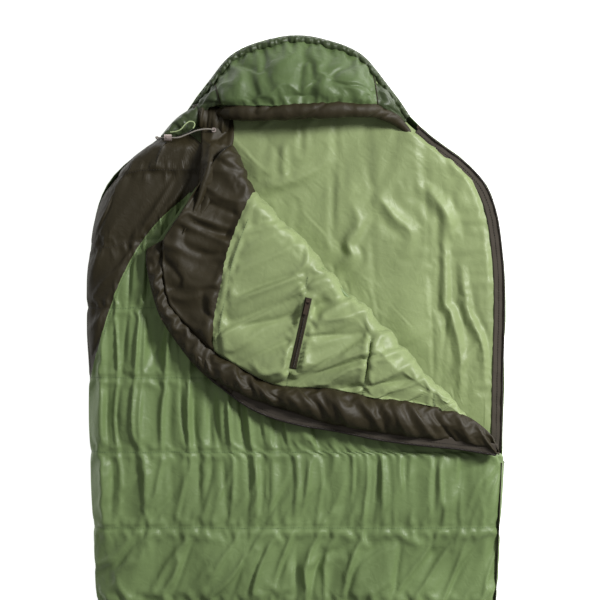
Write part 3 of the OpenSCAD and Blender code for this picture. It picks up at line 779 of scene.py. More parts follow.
def front_folds(x, y):
    """Folds of the front panel: upright ones in the upper half, slanted ones
    below, and a fan of them where the zip pulls at the panel."""
    wander = hills(x / 110, y / 90, 2) * 0.8
    upright = (hills(x / 17 + wander, y / 260, 3) * 11.0
               + creases(x / 19 + wander, y / 300, 6) * 9.5
               - creases(x / 22 + wander, y / 280, 8) * 9.5 + hills(x / 8, y / 90, 5) * 3.4)
    u = x * 0.88 - y * 0.47 + wander * 25
    v = x * 0.47 + y * 0.88
    slanted = (hills(u / 24, v / 110, 11) * 11.0 + creases(u / 25, v / 120, 12) * 10.0
               - creases(u / 27, v / 110, 19) * 10.0 + hills(u / 10, v / 40, 13) * 3.4)
    amount = ease(y, 60, 330)
    folds = upright * amount + slanted * (1 - amount) + hills(x / 120, y / 100, 4) * 2.0
    # Shoulder panel: folds run up to the neck.
    u = x * 0.86 - y * 0.5
    v = x * 0.5 + y * 0.86
    shoulder = (hills(u / 16, v / 150, 14) * 6.0 + creases(u / 18, v / 160, 15) * 6.0
                - creases(u / 20, v / 150, 18) * 6.0)
    on_panel = ease(shoulder_x(y) - x, -10, 10) * ease(y, 380, 460)
    folds = folds * (1 - on_panel) + shoulder * on_panel
    reach = np.hypot(x - 396, y - 300)
    angle = np.arctan2(y - 300, 396 - x)
    fan = hills(angle / 0.13, reach / 90, 16) * 8.0 - creases(angle / 0.17, reach / 120, 17) * 6.0
    near = hump(reach, 130) * ease(reach, 6, 40) * (x < 398)
    return folds * (1 - near) + fan * near


def build_front():
    """The settled front panel, its rows' places and seam rows, and how far each
    point is inside the brown shoulder panel."""
    rows_y, on_seam = front_rows(26, 13)
    shape, flat, channel = front_shape(rows_y)
    grid = shape.copy()
    x = grid[..., 0]
    y = grid[..., 1]
    folds = front_folds(x, y)
    near_seam = np.abs(rows_y[:, None] - SEAMS).min(1)[:, None]
    pucker = hills(x / 6.5, y / 14, 7) * 3.0 * hump(near_seam, 17)
    grid[..., 2] += (folds * np.clip(channel, 0.3, 1) + pucker) * np.clip(flat, 0.15, 1)
    pinned = edges_pinned(*flat.shape)
    pinned[on_seam] = True
    grid[on_seam, :, 2] = shape[on_seam, :, 2] - 1.5 + 0.35 * folds[on_seam] * flat[on_seam]
    grid[on_seam, :, 1] += 0.9 * hills(x[on_seam] / 7, y[on_seam] / 50, 9)
    shoulder = shoulder_x(rows_y)[:, None] - x
    sew(grid, pinned, -shoulder, (1, 0, 0), 4.0, (y > 380) & (y < 806))
    a, e = to_fold(x, y)
    under_flap = (e > -5) & (e < 300) & (a > -90) & (y > 290)
    lower_half = 1 - ease(y, 60, 330)
    slack = 1.2 + 1.6 * flat
    cloth = settle(grid, pinned, excess_u=1.028 + 0.035 * hump(near_seam, 22),
                   excess_v=1.006 + 0.022 * lower_half, floor=grid[..., 2] - slack,
                   ceiling=np.where(under_flap, UNDER_FLAP_Z, grid[..., 2] + slack),
                   weight=0.01, stiffness=0.3, steps=70)
    return cloth, rows_y, on_seam, shoulder


front_cloth, front_y, front_seam_rows, shoulder_field = build_front()
STITCH = dict(length=3.4, pitch=5.0, width=0.9, height=0.5, lift=-0.1)


def make_front():
    rows, cols, _ = front_cloth.shape
    field = shoulder_field.reshape(-1)
    field = np.concatenate([field, field[border(rows, cols)]])
    brown, green = split_by(*closed_from_top(front_cloth, SEAM_Z), field)
    make_piece("front_shell_cloth", green, SHELL,
               nodes=["front_shell", "front_insulation", "front_lining"])
    make_piece("shoulder_panel_cloth", brown, BROWN, nodes=["shoulder_panel"])
    green_lines = []
    brown_lines = []
    for i in front_seam_rows:
        brown_side = shoulder_field[i] > 1.0
        for lines, use in ((green_lines, ~brown_side), (brown_lines, brown_side)):
            if use.sum() > 3:
                lines.append(boxes_along(front_cloth[i][use], **STITCH))
    edge = []
    for i, j in enumerate(np.argmin(np.abs(shoulder_field), axis=1)):
        if 380 < front_y[i] < 800 and abs(shoulder_field[i, j]) < 8:
            edge.append(front_cloth[i, j] + [5.0, 0, 0.3])
    green_lines.append(boxes_along(edge, **STITCH))
    make_piece("front_stitches", join_parts(green_lines), THREAD_GREEN)
    make_piece("shoulder_stitches", join_parts(brown_lines), THREAD_BROWN)


make_front()


# ---------------------------------------------------------------- back layer
def build_back():
    """Outer shell of the back layer, from the side seams down to the ground."""
    foot_round = 34.0
    rows_y = np.concatenate([
        FOOT_Y + foot_round * (1 - np.cos(np.linspace(0, math.pi / 2, 8))),
        np.linspace(-1030, 1000, 110),
        np.linspace(1010, 1098, 16)])
    cols = 70
    grid = np.zeros((len(rows_y), cols, 3))
    for row, y in zip(grid, rows_y):
        width = float(half_width(y))
        fullness = min(rounding(y - FOOT_Y, foot_round), rounding(TOP_Y - y, 30))
        bottom = SEAM_Z - (SEAM_Z - 1.0) * fullness
        right_edge = SEAM_Z - 10 * float(ease(y, 290, 330))
        roll = min(34.0, width * 0.6)
        row[:, 0], row[:, 2] = cross_section(
            -width, width, SEAM_Z, right_edge, bottom, roll, roll, cols)
        row[:, 1] = y
    wave = hills(grid[..., 1] / 30, grid[..., 0] / 60, 12) * 2.0
    side = np.clip((grid[..., 2] - 3) / 20, 0, 1) * np.clip((SEAM_Z - grid[..., 2]) / 10, 0, 1)
    grid[..., 0] += wave * side * np.sign(grid[..., 0])
    return grid


# The columns run from right to left, so that the outside faces down.
make_piece("back_shell_cloth", sheet_solid(build_back()[:, ::-1], 1.5), SHELL, nodes=[
    "back_shell", "back_insulation", "side_wall_left", "side_wall_right", "foot_wall"])

# Folds in the back lining: (x, y) points, half width and height of the crest
LINING_FOLDS = [
    ([(-95, 780), (-78, 800), (0, 826), (45, 848), (60, 870)], 9, 8),
    ([(-22, 892), (-26, 850), (-24, 826)], 6, 6),
    ([(112, 768), (116, 730), (99, 700), (104, 675), (74, 646)], 10, 8),
    ([(281, 762), (283, 680), (285, 593), (295, 564), (312, 492), (314, 395)], 9, 10),
    ([(314, 669), (327, 576), (355, 505), (361, 430)], 8, 8),
    ([(225, 820), (262, 790), (290, 748), (300, 700)], 12, 8),
    ([(150, 800), (185, 755), (215, 725), (214, 690)], 12, 7)]
LINING_Z = 34.5


def along_lines(x, y, lines):
    """Sum of the crests that follow the given lines."""
    total = np.zeros(x.shape)
    for line, half, height in lines:
        path = smooth_path(line, 40)
        gaps = np.hypot(x[..., None] - path[:, 0], y[..., None] - path[:, 1])
        gap = gaps.min(-1)
        taper = np.sin(np.pi * (gaps.argmin(-1) + 1) / 42)
        total += taper * height * (np.exp(-gap / half) - 0.4 * hump(gap - 1.8 * half, half))
    return total


def make_lining():
    """Lining that one lies on, bare between the fold and the open zip."""
    rows_y = np.arange(296, 1010, 4.5)
    cols = 150
    grid = np.zeros((len(rows_y), cols, 3))
    for row, y in zip(grid, rows_y):
        low = max(float(fold_x(min(y, NECK_CORNER[1]))) - 60, -float(half_width(y)) + 34)
        high = float(half_width(y)) - 17
        row[:, 0] = np.linspace(low, max(high, low + 40), cols)
        row[:, 1] = y
        row[:, 2] = LINING_Z
    x, y, z = np.moveaxis(grid, -1, 0)
    bare = ease(-to_fold(x, y)[1], -4, 40)
    soft = (hills((x - y) / 60, (x + y) / 170, 21) * 5.0
            + creases((x - y) / 70, (x + y) / 260, 24) * 2.0
            + hills(x / 24, y / 120, 22) * 1.6 - creases(x / 34, y / 200, 25) * 2.0)
    # Gathers along the zip at the shoulder; the tape of the zip holds the cloth down.
    edge = half_width(y) - x
    bare = bare * ease(edge, 21, 36)
    gathers = hills(y / 11, x / 60, 23) * 2.6 * hump(edge, 45) * ease(y, 560, 700)
    pinned = edges_pinned(*bare.shape)
    z += np.maximum(5 + soft + along_lines(x, y, LINING_FOLDS) + gathers, 0) * bare + 0.6
    z[pinned] = LINING_Z
    cloth = settle(grid, pinned, excess_u=1.012, excess_v=1.008, floor=np.maximum(LINING_Z, z - 2),
                   ceiling=np.minimum(z + 2, LINING_Z + 1.5 + 26 * bare), stiffness=0.4, steps=60)
    make_piece("back_lining_cloth", closed_from_top(cloth, LINING_Z - 2), LINING,
               nodes=["back_lining"])


make_lining()


# ---------------------------------------------------------------- folded flap
# The flap's lining and facing are one cloth: it runs from the seam of the draft
# tube over the flap, round the fold and under the front panel.
# Each station is [along the fold, along the inner seam, distance of that seam].
FLAP_STATIONS = np.array([
    (-96, -50, 190), (-60, -16, 225), (-20, 35, 260), (20, 65, 267), (60, 105, 268),
    (110, 154, 267), (160, 211, 253), (215, 264, 238), (265, 301, 218), (320, 343, 179),
    (365, 373, 150), (415, 410, 124), (455, 438, 106), (500, 472, 75), (545, 510, 46),
    (570, 534, 33), (594, 560, 21)], float)
# Boundary between facing and lining: along the fold, at a distance from it
facing_a = smooth_curve([
    (-60, -22), (0, -1), (21, 4), (56, 18), (98, 38), (133, 58), (173, 88), (211, 114),
    (236, 135), (261, 162), (280, 190)])
HEM_WIDTH = 17.0
# Quilting seams: place on the fold, and shift along it per distance from it
FLAP_SEAMS = [(158, 0.72), (326, 0.80), (491, 1.07)]
CURL_WIDTH = 26.0
CURL_CENTRE = -12.5
CURL_HEIGHT = 36.5
POCKET_TOP = np.array([22.0, 597.0])
POCKET_ANGLE = math.radians(-12.7)
POCKET_TURN = np.array([[math.cos(POCKET_ANGLE), math.sin(POCKET_ANGLE)],
                        [-math.sin(POCKET_ANGLE), math.cos(POCKET_ANGLE)]])
POCKET_LENGTH = 136.0
POCKET_WIDTH = 12.5
POCKET_H = 23.2


def joint_bend(a, e, low, high, tilt=0.0):
    """Bend of a cloth that goes round the fold: the bodies bag and flap, and the
    places at the first and the second value of height above the fold plus tilt
    times distance from it, at the point a along the fold and e from it."""
    square = 1 + tilt ** 2
    ends = [from_fold(a, e + tilt * f / square, f / square) * MM for f in (low, high)]
    return ("bag", "flap", tuple(ends[0]), tuple(ends[1]))


def pocket_place(place):
    """(across, along) of places, from the top of the pocket's zip."""
    return np.moveaxis((place[..., :2] - POCKET_TOP) @ POCKET_TURN.T, -1, 0)


def build_flap_top():
    """The settled lining and facing of the flap, how far each point is inside
    the facing, its places along and away from the fold, and the rows on top."""
    cols = 190
    rows_flat = 58
    rows_curl = 20
    rows = rows_flat + rows_curl
    a, e, h = np.zeros((3, rows, cols))
    share = np.linspace(0, 1, rows_flat)
    turn = np.linspace(0, math.pi, rows_curl + 1)[1:]
    for j, (fold_a, seam_a, seam_e) in enumerate(smooth_path(FLAP_STATIONS, cols)):
        size = float(np.clip(seam_e / 110, 0.22, 1))
        wobble = 2.5 * math.sin(fold_a / 31) + 1.5 * math.sin(fold_a / 13 + 1)
        bulge = -24 * float(ease(-fold_a, 0, 100)) + wobble * size + CURL_WIDTH * size
        height = CURL_HEIGHT * (0.55 + 0.45 * size)
        top = CURL_CENTRE + height
        edge_h = min(12.0, top)
        e[:rows_flat, j] = seam_e + (bulge - seam_e) * share
        a[:rows_flat, j] = seam_a + (fold_a - seam_a) * share
        h[:rows_flat, j] = edge_h + (top - edge_h) * ease(share * abs(seam_e), -10, 60)
        e[rows_flat:, j] = bulge - CURL_WIDTH * size * np.sin(turn)
        a[rows_flat:, j] = fold_a
        h[rows_flat:, j] = CURL_CENTRE + height * np.cos(turn)
    pinned = edges_pinned(rows, cols)
    facing = facing_a(e) - a
    row = np.arange(rows)[:, None]
    flat = (ease(rows_flat - row, 0, 8) * ease(row, 0, 5)) * np.ones((1, cols))
    grid = from_fold(a, e, h)
    along_fold = (*FOLD_DIR, 0.0)
    sew(grid, pinned, -facing, along_fold, 5.0)
    sew(grid, pinned, -facing - HEM_WIDTH, along_fold, 2.0, facing < 0)
    across, along = pocket_place(grid)
    at_pocket = (np.abs(across) < 12) & (along > -POCKET_LENGTH - 6) & (along < 6)
    seam_offsets = [a - place - slope * e for place, slope in FLAP_SEAMS]
    for offset in seam_offsets:
        sew(grid, pinned, offset, along_fold, 4.0, (facing < -HEM_WIDTH - 8) & ~at_pocket)
    shape = grid.copy()

    # Lining: creases slant up towards the fold, as if pulled from the facing.
    u = a * 0.94 + e * 0.34
    v = e * 0.94 - a * 0.34
    drawn = (hills(u / 21, v / 130, 31) * 8.5 + creases(u / 24, v / 150, 32) * 8.5
             - creases(u / 27, v / 130, 38) * 8.5 + hills(u / 9, v / 50, 33) * 2.8)
    # Facing: long soft folds that run from the neck down to the zip.
    u = a * 0.45 + e * 0.9
    v = a * 0.9 - e * 0.45
    soft = (hills(u / 28, v / 80, 34) * 11.0 + creases(u / 24, v / 90, 35) * 8.0
            - creases(u / 27, v / 80, 39) * 8.0 + hills(u / 11, v / 35, 36) * 3.2)
    on_facing = ease(facing, -4, 10)
    folds = (drawn * (1 - on_facing) + soft * on_facing) * (0.35 + 0.65 * flat)
    seam_gap = np.min(np.abs([*seam_offsets, facing, facing + HEM_WIDTH]), axis=0)
    beside_pocket = (hump(np.abs(across) - 12, 13)
                     * ease(along, -POCKET_LENGTH - 20, -POCKET_LENGTH) * ease(-along, -20, 0))
    pucker = hills(a / 30, e / 6, 37) * 3.2 * np.maximum(hump(seam_gap, 15), beside_pocket) * flat
    relief = np.where(at_pocket, 0.0, folds + pucker) * ease(seam_gap, 0, 9)
    grid += normals_of(shape) * (relief * ~edges_pinned(rows, cols))[..., None]
    grid[at_pocket, 2] = FOLD_Z + POCKET_H
    pinned |= at_pocket
    z = grid[..., 2]
    cloth = settle(grid, pinned, excess_u=1.03, excess_v=1.012, ceiling=z + 4,
                   floor=np.where(flat > 0.2, z - 2.5, z - 6), weight=0.005, stiffness=0.3,
                   steps=70)
    return cloth, facing, seam_offsets, rows_flat


flap_cloth, facing_field, flap_seam_offsets, flap_flat_rows = build_flap_top()


def seam_on(cloth, offset, use, lift=0.2):
    """Path on a cloth along the points of its rows that lie nearest to a seam."""
    return np.array([cloth[i, j] + [0, 0, lift]
                     for i, j in enumerate(np.argmin(np.abs(offset), axis=1))
                     if 2 < j < cloth.shape[1] - 3 and use[i, j]])


def make_flap_top():
    brown, green = split_by(*sheet_solid(flap_cloth, 1.0), np.tile(facing_field.reshape(-1), 2))
    bend = joint_bend(200, 0, -41.0, 31.0, tilt=0.3)
    make_piece("flap_lining_cloth", green, LINING, bend=bend,
               nodes=["flap_lining", "flap_insulation", "pocket_bag"])
    make_piece("flap_facing_cloth", brown, BROWN, bend=bend, nodes=["flap_facing"])
    top = np.zeros(facing_field.shape, bool)
    top[:flap_flat_rows - 4] = True
    lines = [seam_on(flap_cloth, facing_field + HEM_WIDTH, top)]
    across, along = pocket_place(flap_cloth)
    off_pocket = (along > 4) | (along < -POCKET_LENGTH - 4) | (np.abs(across) > 20)
    for offset in flap_seam_offsets:
        path = seam_on(flap_cloth, offset, top & off_pocket & (facing_field < -HEM_WIDTH - 8))
        gaps = np.linalg.norm(np.diff(path, axis=0), axis=1)
        lines += np.split(path, np.flatnonzero(gaps > 20) + 1)
    stitches = join_parts([boxes_along(line, **STITCH) for line in lines if len(line) > 3])
    make_piece("flap_lining_stitches", stitches, THREAD_PALE, "flap")


make_flap_top()

# Edge lines of the strip and the tube beside the zip, in flap coordinates
STRIP_INNER = [
    (-50, 186), (-16, 222), (35, 258), (65, 265), (105, 266), (154, 265), (190, 262), (225, 250)]
STRIP_OUTER = [
    (-60, 226), (-39, 247), (13, 278), (58, 297), (128, 308), (170, 310), (215, 306), (250, 298)]
TUBE_INNER = [
    (140, 285), (165, 272), (190, 261), (211, 252), (264, 236), (301, 216), (343, 177),
    (373, 148), (410, 122), (438, 104), (472, 73), (510, 44), (537, 26), (568, 8), (600, -4),
    (640, -8), (668, 0)]
TUBE_OUTER = [
    (134, 303), (170, 306), (205, 302), (245, 290), (290, 272), (338, 244), (407, 208),
    (440, 184), (476, 158), (505, 135), (535, 110), (563, 86), (590, 63), (615, 42), (640, 24),
    (662, 12), (678, 6)]
# Edge lines of the collar on the bag
COLLAR_LEFT = [
    (-180, 950), (-183, 910), (-182, 868), (-186, 822), (-199, 775), (-207, 745), (-221, 716),
    (-249, 702)]
COLLAR_RIGHT = [
    (-124, 950), (-120, 910), (-124, 880), (-134, 850), (-152, 806), (-170, 765), (-200, 728),
    (-246, 682)]


def make_flap_rolls():
    strip = crowned_band(on_flap(STRIP_OUTER), on_flap(STRIP_INNER), FOLD_Z + 6, 11, 90, 16, 41,
                         excess_along=1.05, rough=5.0, fold_along=12, slant=0.3, steps=90)
    make_piece("flap_zip_guard_cloth", closed_from_top(strip, FOLD_Z + 3), BROWN, "flap",
               nodes=["flap_zip_guard"])
    rows = 210
    run = np.linspace(0, 1, rows)
    height = 9 + 19 * ease(run, 0.0, 0.16) * ease(1 - run, 0.0, 0.4)
    tube = crowned_band(on_flap(TUBE_OUTER), on_flap(TUBE_INNER), FOLD_Z + 6, height, rows, 30, 43,
                        excess_along=1.03, excess_across=1.02, rough=8.0, fold_along=17,
                        fold_across=26, slant=2.3, fullness=0.55, steps=90)
    make_piece("flap_draft_tube_cloth", closed_from_top(tube, FOLD_Z + 3), BROWN, "flap",
               nodes=["flap_draft_tube"])


def make_collar():
    """It comes down from the neck and is folded back with the flap."""
    rows = 110
    run = np.linspace(0, 1, rows)
    base = np.interp(run, [0, 0.35, 1], [FOLD_Z - 48, FOLD_Z + 2, FOLD_Z + 7])
    height = np.interp(run, [0, 0.2, 0.7, 1], [14, 20, 20, 9])
    collar = crowned_band(COLLAR_LEFT, COLLAR_RIGHT, base, height, rows, 34, 47,
                          excess_along=1.015, excess_across=1.02, rough=15.0, fold_along=70,
                          fold_across=7, slant=0.15, fullness=0.5, steps=50)
    make_piece("flap_collar_cloth", closed_from_top(collar, base - 4), BROWN,
               nodes=["flap_collar"],
               bend=("bag", "flap", (-0.150, 0.905, 0.09), (-0.165, 0.830, 0.09)))


def make_flap_underside():
    """Outer shell of the flap, which lies face down on the front panel."""
    cols = 120
    rows = 60
    edge_a, edge_e = smooth_path(FLAP_EDGE, cols).T
    axis = np.linspace(-96, FOLD_LENGTH - 4, cols)
    share = np.linspace(0, 1, rows)[:, None]
    gap = 18.0 * np.clip(edge_e / 120, 0.2, 1)
    a = edge_a + (axis - edge_a) * share
    e = (edge_e - gap) * (1 - share) + 8.0 * share
    puff = (np.abs(np.sin(np.pi * (a - 0.8 * e) / 168)) ** 0.6
            * np.sin(np.pi * np.clip(share, 0.02, 0.98)) ** 0.4)
    folds = (hills(a / 22, e / 110, 51) * 1.6 + hills(a / 11, e / 60, 52) * 0.8) * puff
    grid = from_fold(a, e, 0.2 - 3.0 * puff + np.minimum(folds, 1.5))
    points, faces = sheet_solid(grid, -3.0)
    make_piece("flap_shell_cloth", (points, [face[::-1] for face in faces]), SHELL, "flap",
               nodes=["flap_shell"])


def make_fold_shell():
    """Strip of the outer shell at the fold. It is tucked between the front panel
    and the flap that lies on it."""
    a = np.linspace(-96, FOLD_LENGTH - 12, 150)[:, None]
    run = np.linspace(0, 1, 12)[None, :]
    edge_y = from_fold(a[:, 0], 9.5, 0)[:, 1]
    edge_h = np.interp(edge_y, front_y, front_cloth[:, -1, 2]) - FOLD_Z
    low = np.minimum(edge_h, -6.0)[:, None]
    grid = from_fold(a, 9.5 - 1.5 * run + 9 * np.sin(math.pi * run), low + (0.5 - low) * run)
    make_piece("fold_shell_cloth", sheet_solid(grid[::-1], 1.0), SHELL,
               bend=joint_bend(200, 12, -6.0, 0.2))


make_flap_rolls()
make_collar()
make_flap_underside()
make_fold_shell()


# ---------------------------------------------------------------- zips and pocket
# A tooth of each main zip
TOOTH = dict(length=1.2, pitch=2.0, width=4.2, height=2.2)
TAPE_WIDTH = 22.0
ZIP_START = np.array([390.0, 283.0])
ZIP_SLOPE = (393.0 - 366.0) / 613.0
ZIP_LENGTH = 600.0
# Heights of the closed zip and of the open one's coil
ZIP_Z = 44.4
OPEN_ZIP_Z = 36.4


def inset(line, distance):
    """The line moved to its left by a distance."""
    tangent = unit(np.gradient(np.asarray(line, float), axis=0))
    return line + np.stack([-tangent[:, 1], tangent[:, 0]], -1) * distance


def at_height(line, z):
    return np.column_stack([line, np.full(len(line), z)])


def ribbon(edge, near, far, cols, z, wave, seed):
    """Flat woven tape along an edge, with slight waves. It reaches from the
    distance near the edge to the distance far from it, where z may slope."""
    rows = len(edge)
    run, share = spans(rows, cols)
    outer, inner = [smooth_path(inset(edge, gap), rows)[:, None] for gap in (near, far)]
    place = outer + (inner - outer) * share[..., None]
    return np.dstack([place, z + wave * hills(run * rows / 4, share * 1.5, seed)])


def make_coil(name, line, z, body, node, tooth=TOOTH, cord_z=1.2, cord_radius=0.8):
    """Half of a zip's coil: its teeth and the cord that runs through them."""
    path = at_height(line, z)
    parts = [boxes_along(path, **tooth), tube_along(path + UP * cord_z, cord_radius, sides=6)]
    make_piece(name, join_parts(parts), COIL, body, nodes=[node])


def make_stitches(name, line, z, body):
    make_piece(name, boxes_along(at_height(line, z), **STITCH), THREAD_BROWN, body)


def make_flap_zip():
    edge = smooth_path(on_flap(FLAP_EDGE), 260)
    slope = FOLD_Z + 7.4 - 2.0 * np.linspace(1, 0, 8)
    tape = ribbon(edge[70:], 1, 24, 8, slope, 0.9, 61)
    make_piece("flap_zip_tape_cloth", sheet_solid(tape, 1.0), TAPE, "flap", nodes=["flap_zip_tape"])
    make_coil("flap_zip_coil_teeth", inset(edge[62:], 3.0), FOLD_Z + 6.6, "flap", "flap_zip_coil")
    make_stitches("flap_tape_stitches", inset(edge[74:252], 11.0), FOLD_Z + 7.2, "flap")


def make_pocket():
    """Zip of the pocket: a tape domed over the coil, sewn all round."""
    half = POCKET_WIDTH / 2
    base = FOLD_Z + POCKET_H + 0.2

    def place(across, along, z):
        across, along, z = np.broadcast_arrays(across, along, z)
        flat = POCKET_TOP + np.stack([across, along], -1) @ POCKET_TURN
        return np.concatenate([flat, z[..., None]], -1)

    across, along = np.meshgrid(np.linspace(-half, half, 9), np.linspace(0, -POCKET_LENGTH, 70))
    dome = 0.9 + 0.5 * np.sqrt(np.clip(1 - (across / half) ** 2, 0, 1))
    dome += 0.25 * hills(along / 7, across / 4, 71)
    tape = place(across, along, base + dome)
    make_piece("pocket_zip_tape_cloth", closed_from_top(tape[::-1], base), BROWN, "flap",
               ["pocket_zip_tape"])
    line = place(0.0, np.linspace(-2, -POCKET_LENGTH + 2, 60), base + 1.1)
    teeth = boxes_along(line, length=0.9, pitch=1.5, width=3.6, height=1.0)
    make_piece("pocket_zip_coil_teeth", teeth, COIL, "flap", nodes=["pocket_zip_coil"])
    run = np.linspace(-1, -POCKET_LENGTH + 1, 60)
    reach = np.linspace(-half + 1.3, half - 1.3, 8)
    lines = [place(across, run, base + 1.2) for across in (-half + 1.3, half - 1.3)]
    lines += [place(reach, end, base + 1.3) for end in (-1.5, -POCKET_LENGTH + 1.5)]
    stitches = join_parts([boxes_along(line, 2.0, 3.0, 0.6, 0.4) for line in lines])
    make_piece("pocket_stitches", stitches, THREAD_BROWN, "flap")


make_flap_zip()
make_pocket()

# ---------------------------------------------------------------- hood
# Lower edge of the hood: y at x
mouth_y = smooth_curve([
    (-210, 930), (-150, 957), (-131, 953), (-70, 951), (-8, 951), (72, 955), (146, 953),
    (186, 941), (215, 922)])
ROLL = [(-152, 952, 60), (-128, 951, 72), (-70, 949, 84), (-8, 949, 90), (72, 953, 90),
        (140, 951, 76), (180, 941, 56), (204, 925, 44), (221, 903, 38)]
HOOD_RIM_Z = 42.0
HOOD_PEAK_Z = 104.0
# Seams between the middle of the hood and its gussets: x at y
gusset_left = smooth_curve([(920, -128), (957, -142), (990, -152), (1020, -161), (1100, -180)])
gusset_right = smooth_curve([(920, 160), (963, 154), (1020, 146), (1100, 128)])


def hood_outline():
    """Outline of the hood, from its left end over the top to its right end."""
    sides = [946, 975, 1005, 1035, 1060, 1078, 1090]
    left = [(-float(half_width(y)), y) for y in sides]
    right = [(float(half_width(y)), y) for y in reversed(sides)]
    return left + [(-28, 1099), (0, 1101), (28, 1099)] + right


def hood_surface(rows, cols, depth):
    """Dome from the mouth of the hood to its outline, a depth inside the hood.
    The rows run from the mouth to the rim, the columns from left to right."""
    rim = inset(smooth_path(hood_outline(), cols), -9)
    v, share = spans(rows, cols)
    u = share * 2 - 1
    mouth_x = np.linspace(rim[0, 0], rim[-1, 0], cols)
    mouth = np.column_stack([mouth_x, mouth_y(mouth_x) + 8])
    place = mouth + (rim - mouth) * v[..., None]
    dome = (1 - np.abs(u) ** 3.2) * (1 - v ** 3)
    front = 1 - 0.1 * hump(v, 0.08)
    z = HOOD_RIM_Z + (HOOD_PEAK_Z - HOOD_RIM_Z) * dome * front - depth * (0.15 + 0.85 * dome)
    return np.dstack([place, z]), u, v, dome


def build_hood():
    """The settled outside of the hood, and how far each point is past the left
    gusset's seam and past the right one's."""
    grid, u, v, dome = hood_surface(84, 170, 0.0)
    x = grid[..., 0]
    y = grid[..., 1]
    pinned = edges_pinned(*dome.shape)
    left = gusset_left(y) - x
    right = x - gusset_right(y)
    sew(grid, pinned, -left, (1, 0, 0), 5.0)
    sew(grid, pinned, right, (1, 0, 0), 5.0)
    swirl = u + 0.10 * hills(u * 5, v * 3, 80)
    radial = (hills(swirl * 9, v * 2.2, 81) * 6.0 + creases(swirl * 7, v * 2.2, 82) * 4.0
              - creases(swirl * 6, v * 2.5, 85) * 5.0 + hills(swirl * 22, v * 5, 83) * 2.0)
    gathers = hills(u * 46, v * 3, 84) * 4.2 * (hump(1 - v, 0.16) + 0.6 * hump(v, 0.1))
    # A slack bulge lies across the front of the dome.
    bulge = 8 * hump(x - 20, 62) * hump(y - 994, 17)
    relief = ((radial * ease(v, 0, 0.15) * ease(1 - v, 0, 0.12) + gathers)
              * np.clip(dome * 1.6, 0.25, 1) + bulge)
    relief *= ease(np.minimum(np.abs(left), np.abs(right)), 0, 9) * ~edges_pinned(*dome.shape)
    grid += normals_of(grid) * relief[..., None]
    cloth = settle(grid, pinned, excess_u=1.02 + 0.06 * hump(1 - v, 0.15), excess_v=1.012,
                   floor=grid[..., 2] - 3, ceiling=grid[..., 2] + 4, stiffness=0.25, steps=60)
    return cloth, left, right


def make_hood():
    cloth, left, right = build_hood()
    gusset, rest = split_by(*sheet_solid(cloth, 3.0), np.tile(left.reshape(-1), 2))
    make_piece("hood_gusset_left_cloth", gusset, OLIVE, nodes=["hood_gusset_left"])
    gusset, middle = split_by(*rest, rest[0][:, 0] - gusset_right(rest[0][:, 1]))
    make_piece("hood_gusset_right_cloth", gusset, OLIVE, nodes=["hood_gusset_right"])
    # The hood's middle gets the shell's green darkened as painted shade.
    make_piece("hood_shell_cloth", middle, SHADED_HOOD_GREEN,
               nodes=["hood_shell", "hood_insulation"])
    top = np.ones(left.shape, bool)
    piping = [tube_along(seam_on(cloth, offset, top, 0.5), 1.2, sides=6)
              for offset in (left, right)]
    make_piece("hood_gusset_piping", join_parts(piping), BROWN)
    inner, u, v, _ = hood_surface(30, 60, 27.0)
    inner[..., 2] += hills(u * 8, v * 3, 86) * 1.5
    make_piece("hood_lining_cloth", sheet_solid(inner, 1.5), LINING, nodes=["hood_lining"])


def make_hood_hem():
    outline = smooth_path(hood_outline(), 200)
    width = 12 + 9 * np.sin(math.pi * np.linspace(0, 1, 200)) ** 1.2
    hem = crowned_band(outline, inset(outline, -width[:, None]), 41, 12, 300, 12, 91,
                       excess_along=1.05, excess_across=1.02, rough=3.5, fold_along=6,
                       fold_across=30, slant=0.2, fullness=0.5, stiffness=0.2, steps=60)
    make_piece("hood_hem_cloth", closed_from_top(hem, 36), OLIVE, nodes=["hood_hem"])


def make_face_roll():
    """Tube round the face opening: its two long edges meet underneath."""
    rows = 170
    cols = 40
    run, share = spans(rows, cols)
    path = smooth_path(ROLL, rows)
    radius = np.interp(run, [0, 0.05, 0.12, 0.5, 0.75, 0.88, 1], [6, 13, 16, 16, 13.5, 10, 4])
    ring = rings_round(path, np.linspace(1.5 * math.pi, -0.5 * math.pi, cols))
    u = run * 24
    v = share * 4
    rough = (hills(u + 0.7 * v, v, 95) * 0.16 - creases(u * 0.8 + v, v * 0.5, 96) * 0.22
             + hills(u * 2.5, v * 1.5, 98) * 0.05) * np.sin(np.pi * share) ** 0.5
    grid = path[:, None] + ring * (radius * (1.03 + rough))[..., None]
    roll = facing_up(settle(grid, edges_pinned(rows, cols), excess_u=1.01, excess_v=1.01,
                            stiffness=0.3, steps=12, weight=0.02))
    # The last column lies on the first, so the faces at the ends leave it out.
    ends = [list(range(cols - 1)), list(range(rows * cols - 2, (rows - 1) * cols - 1, -1))]
    make_piece("hood_face_roll_cloth", (roll.reshape(-1, 3), grid_faces(rows, cols) + ends), BROWN,
               nodes=["hood_face_roll"])


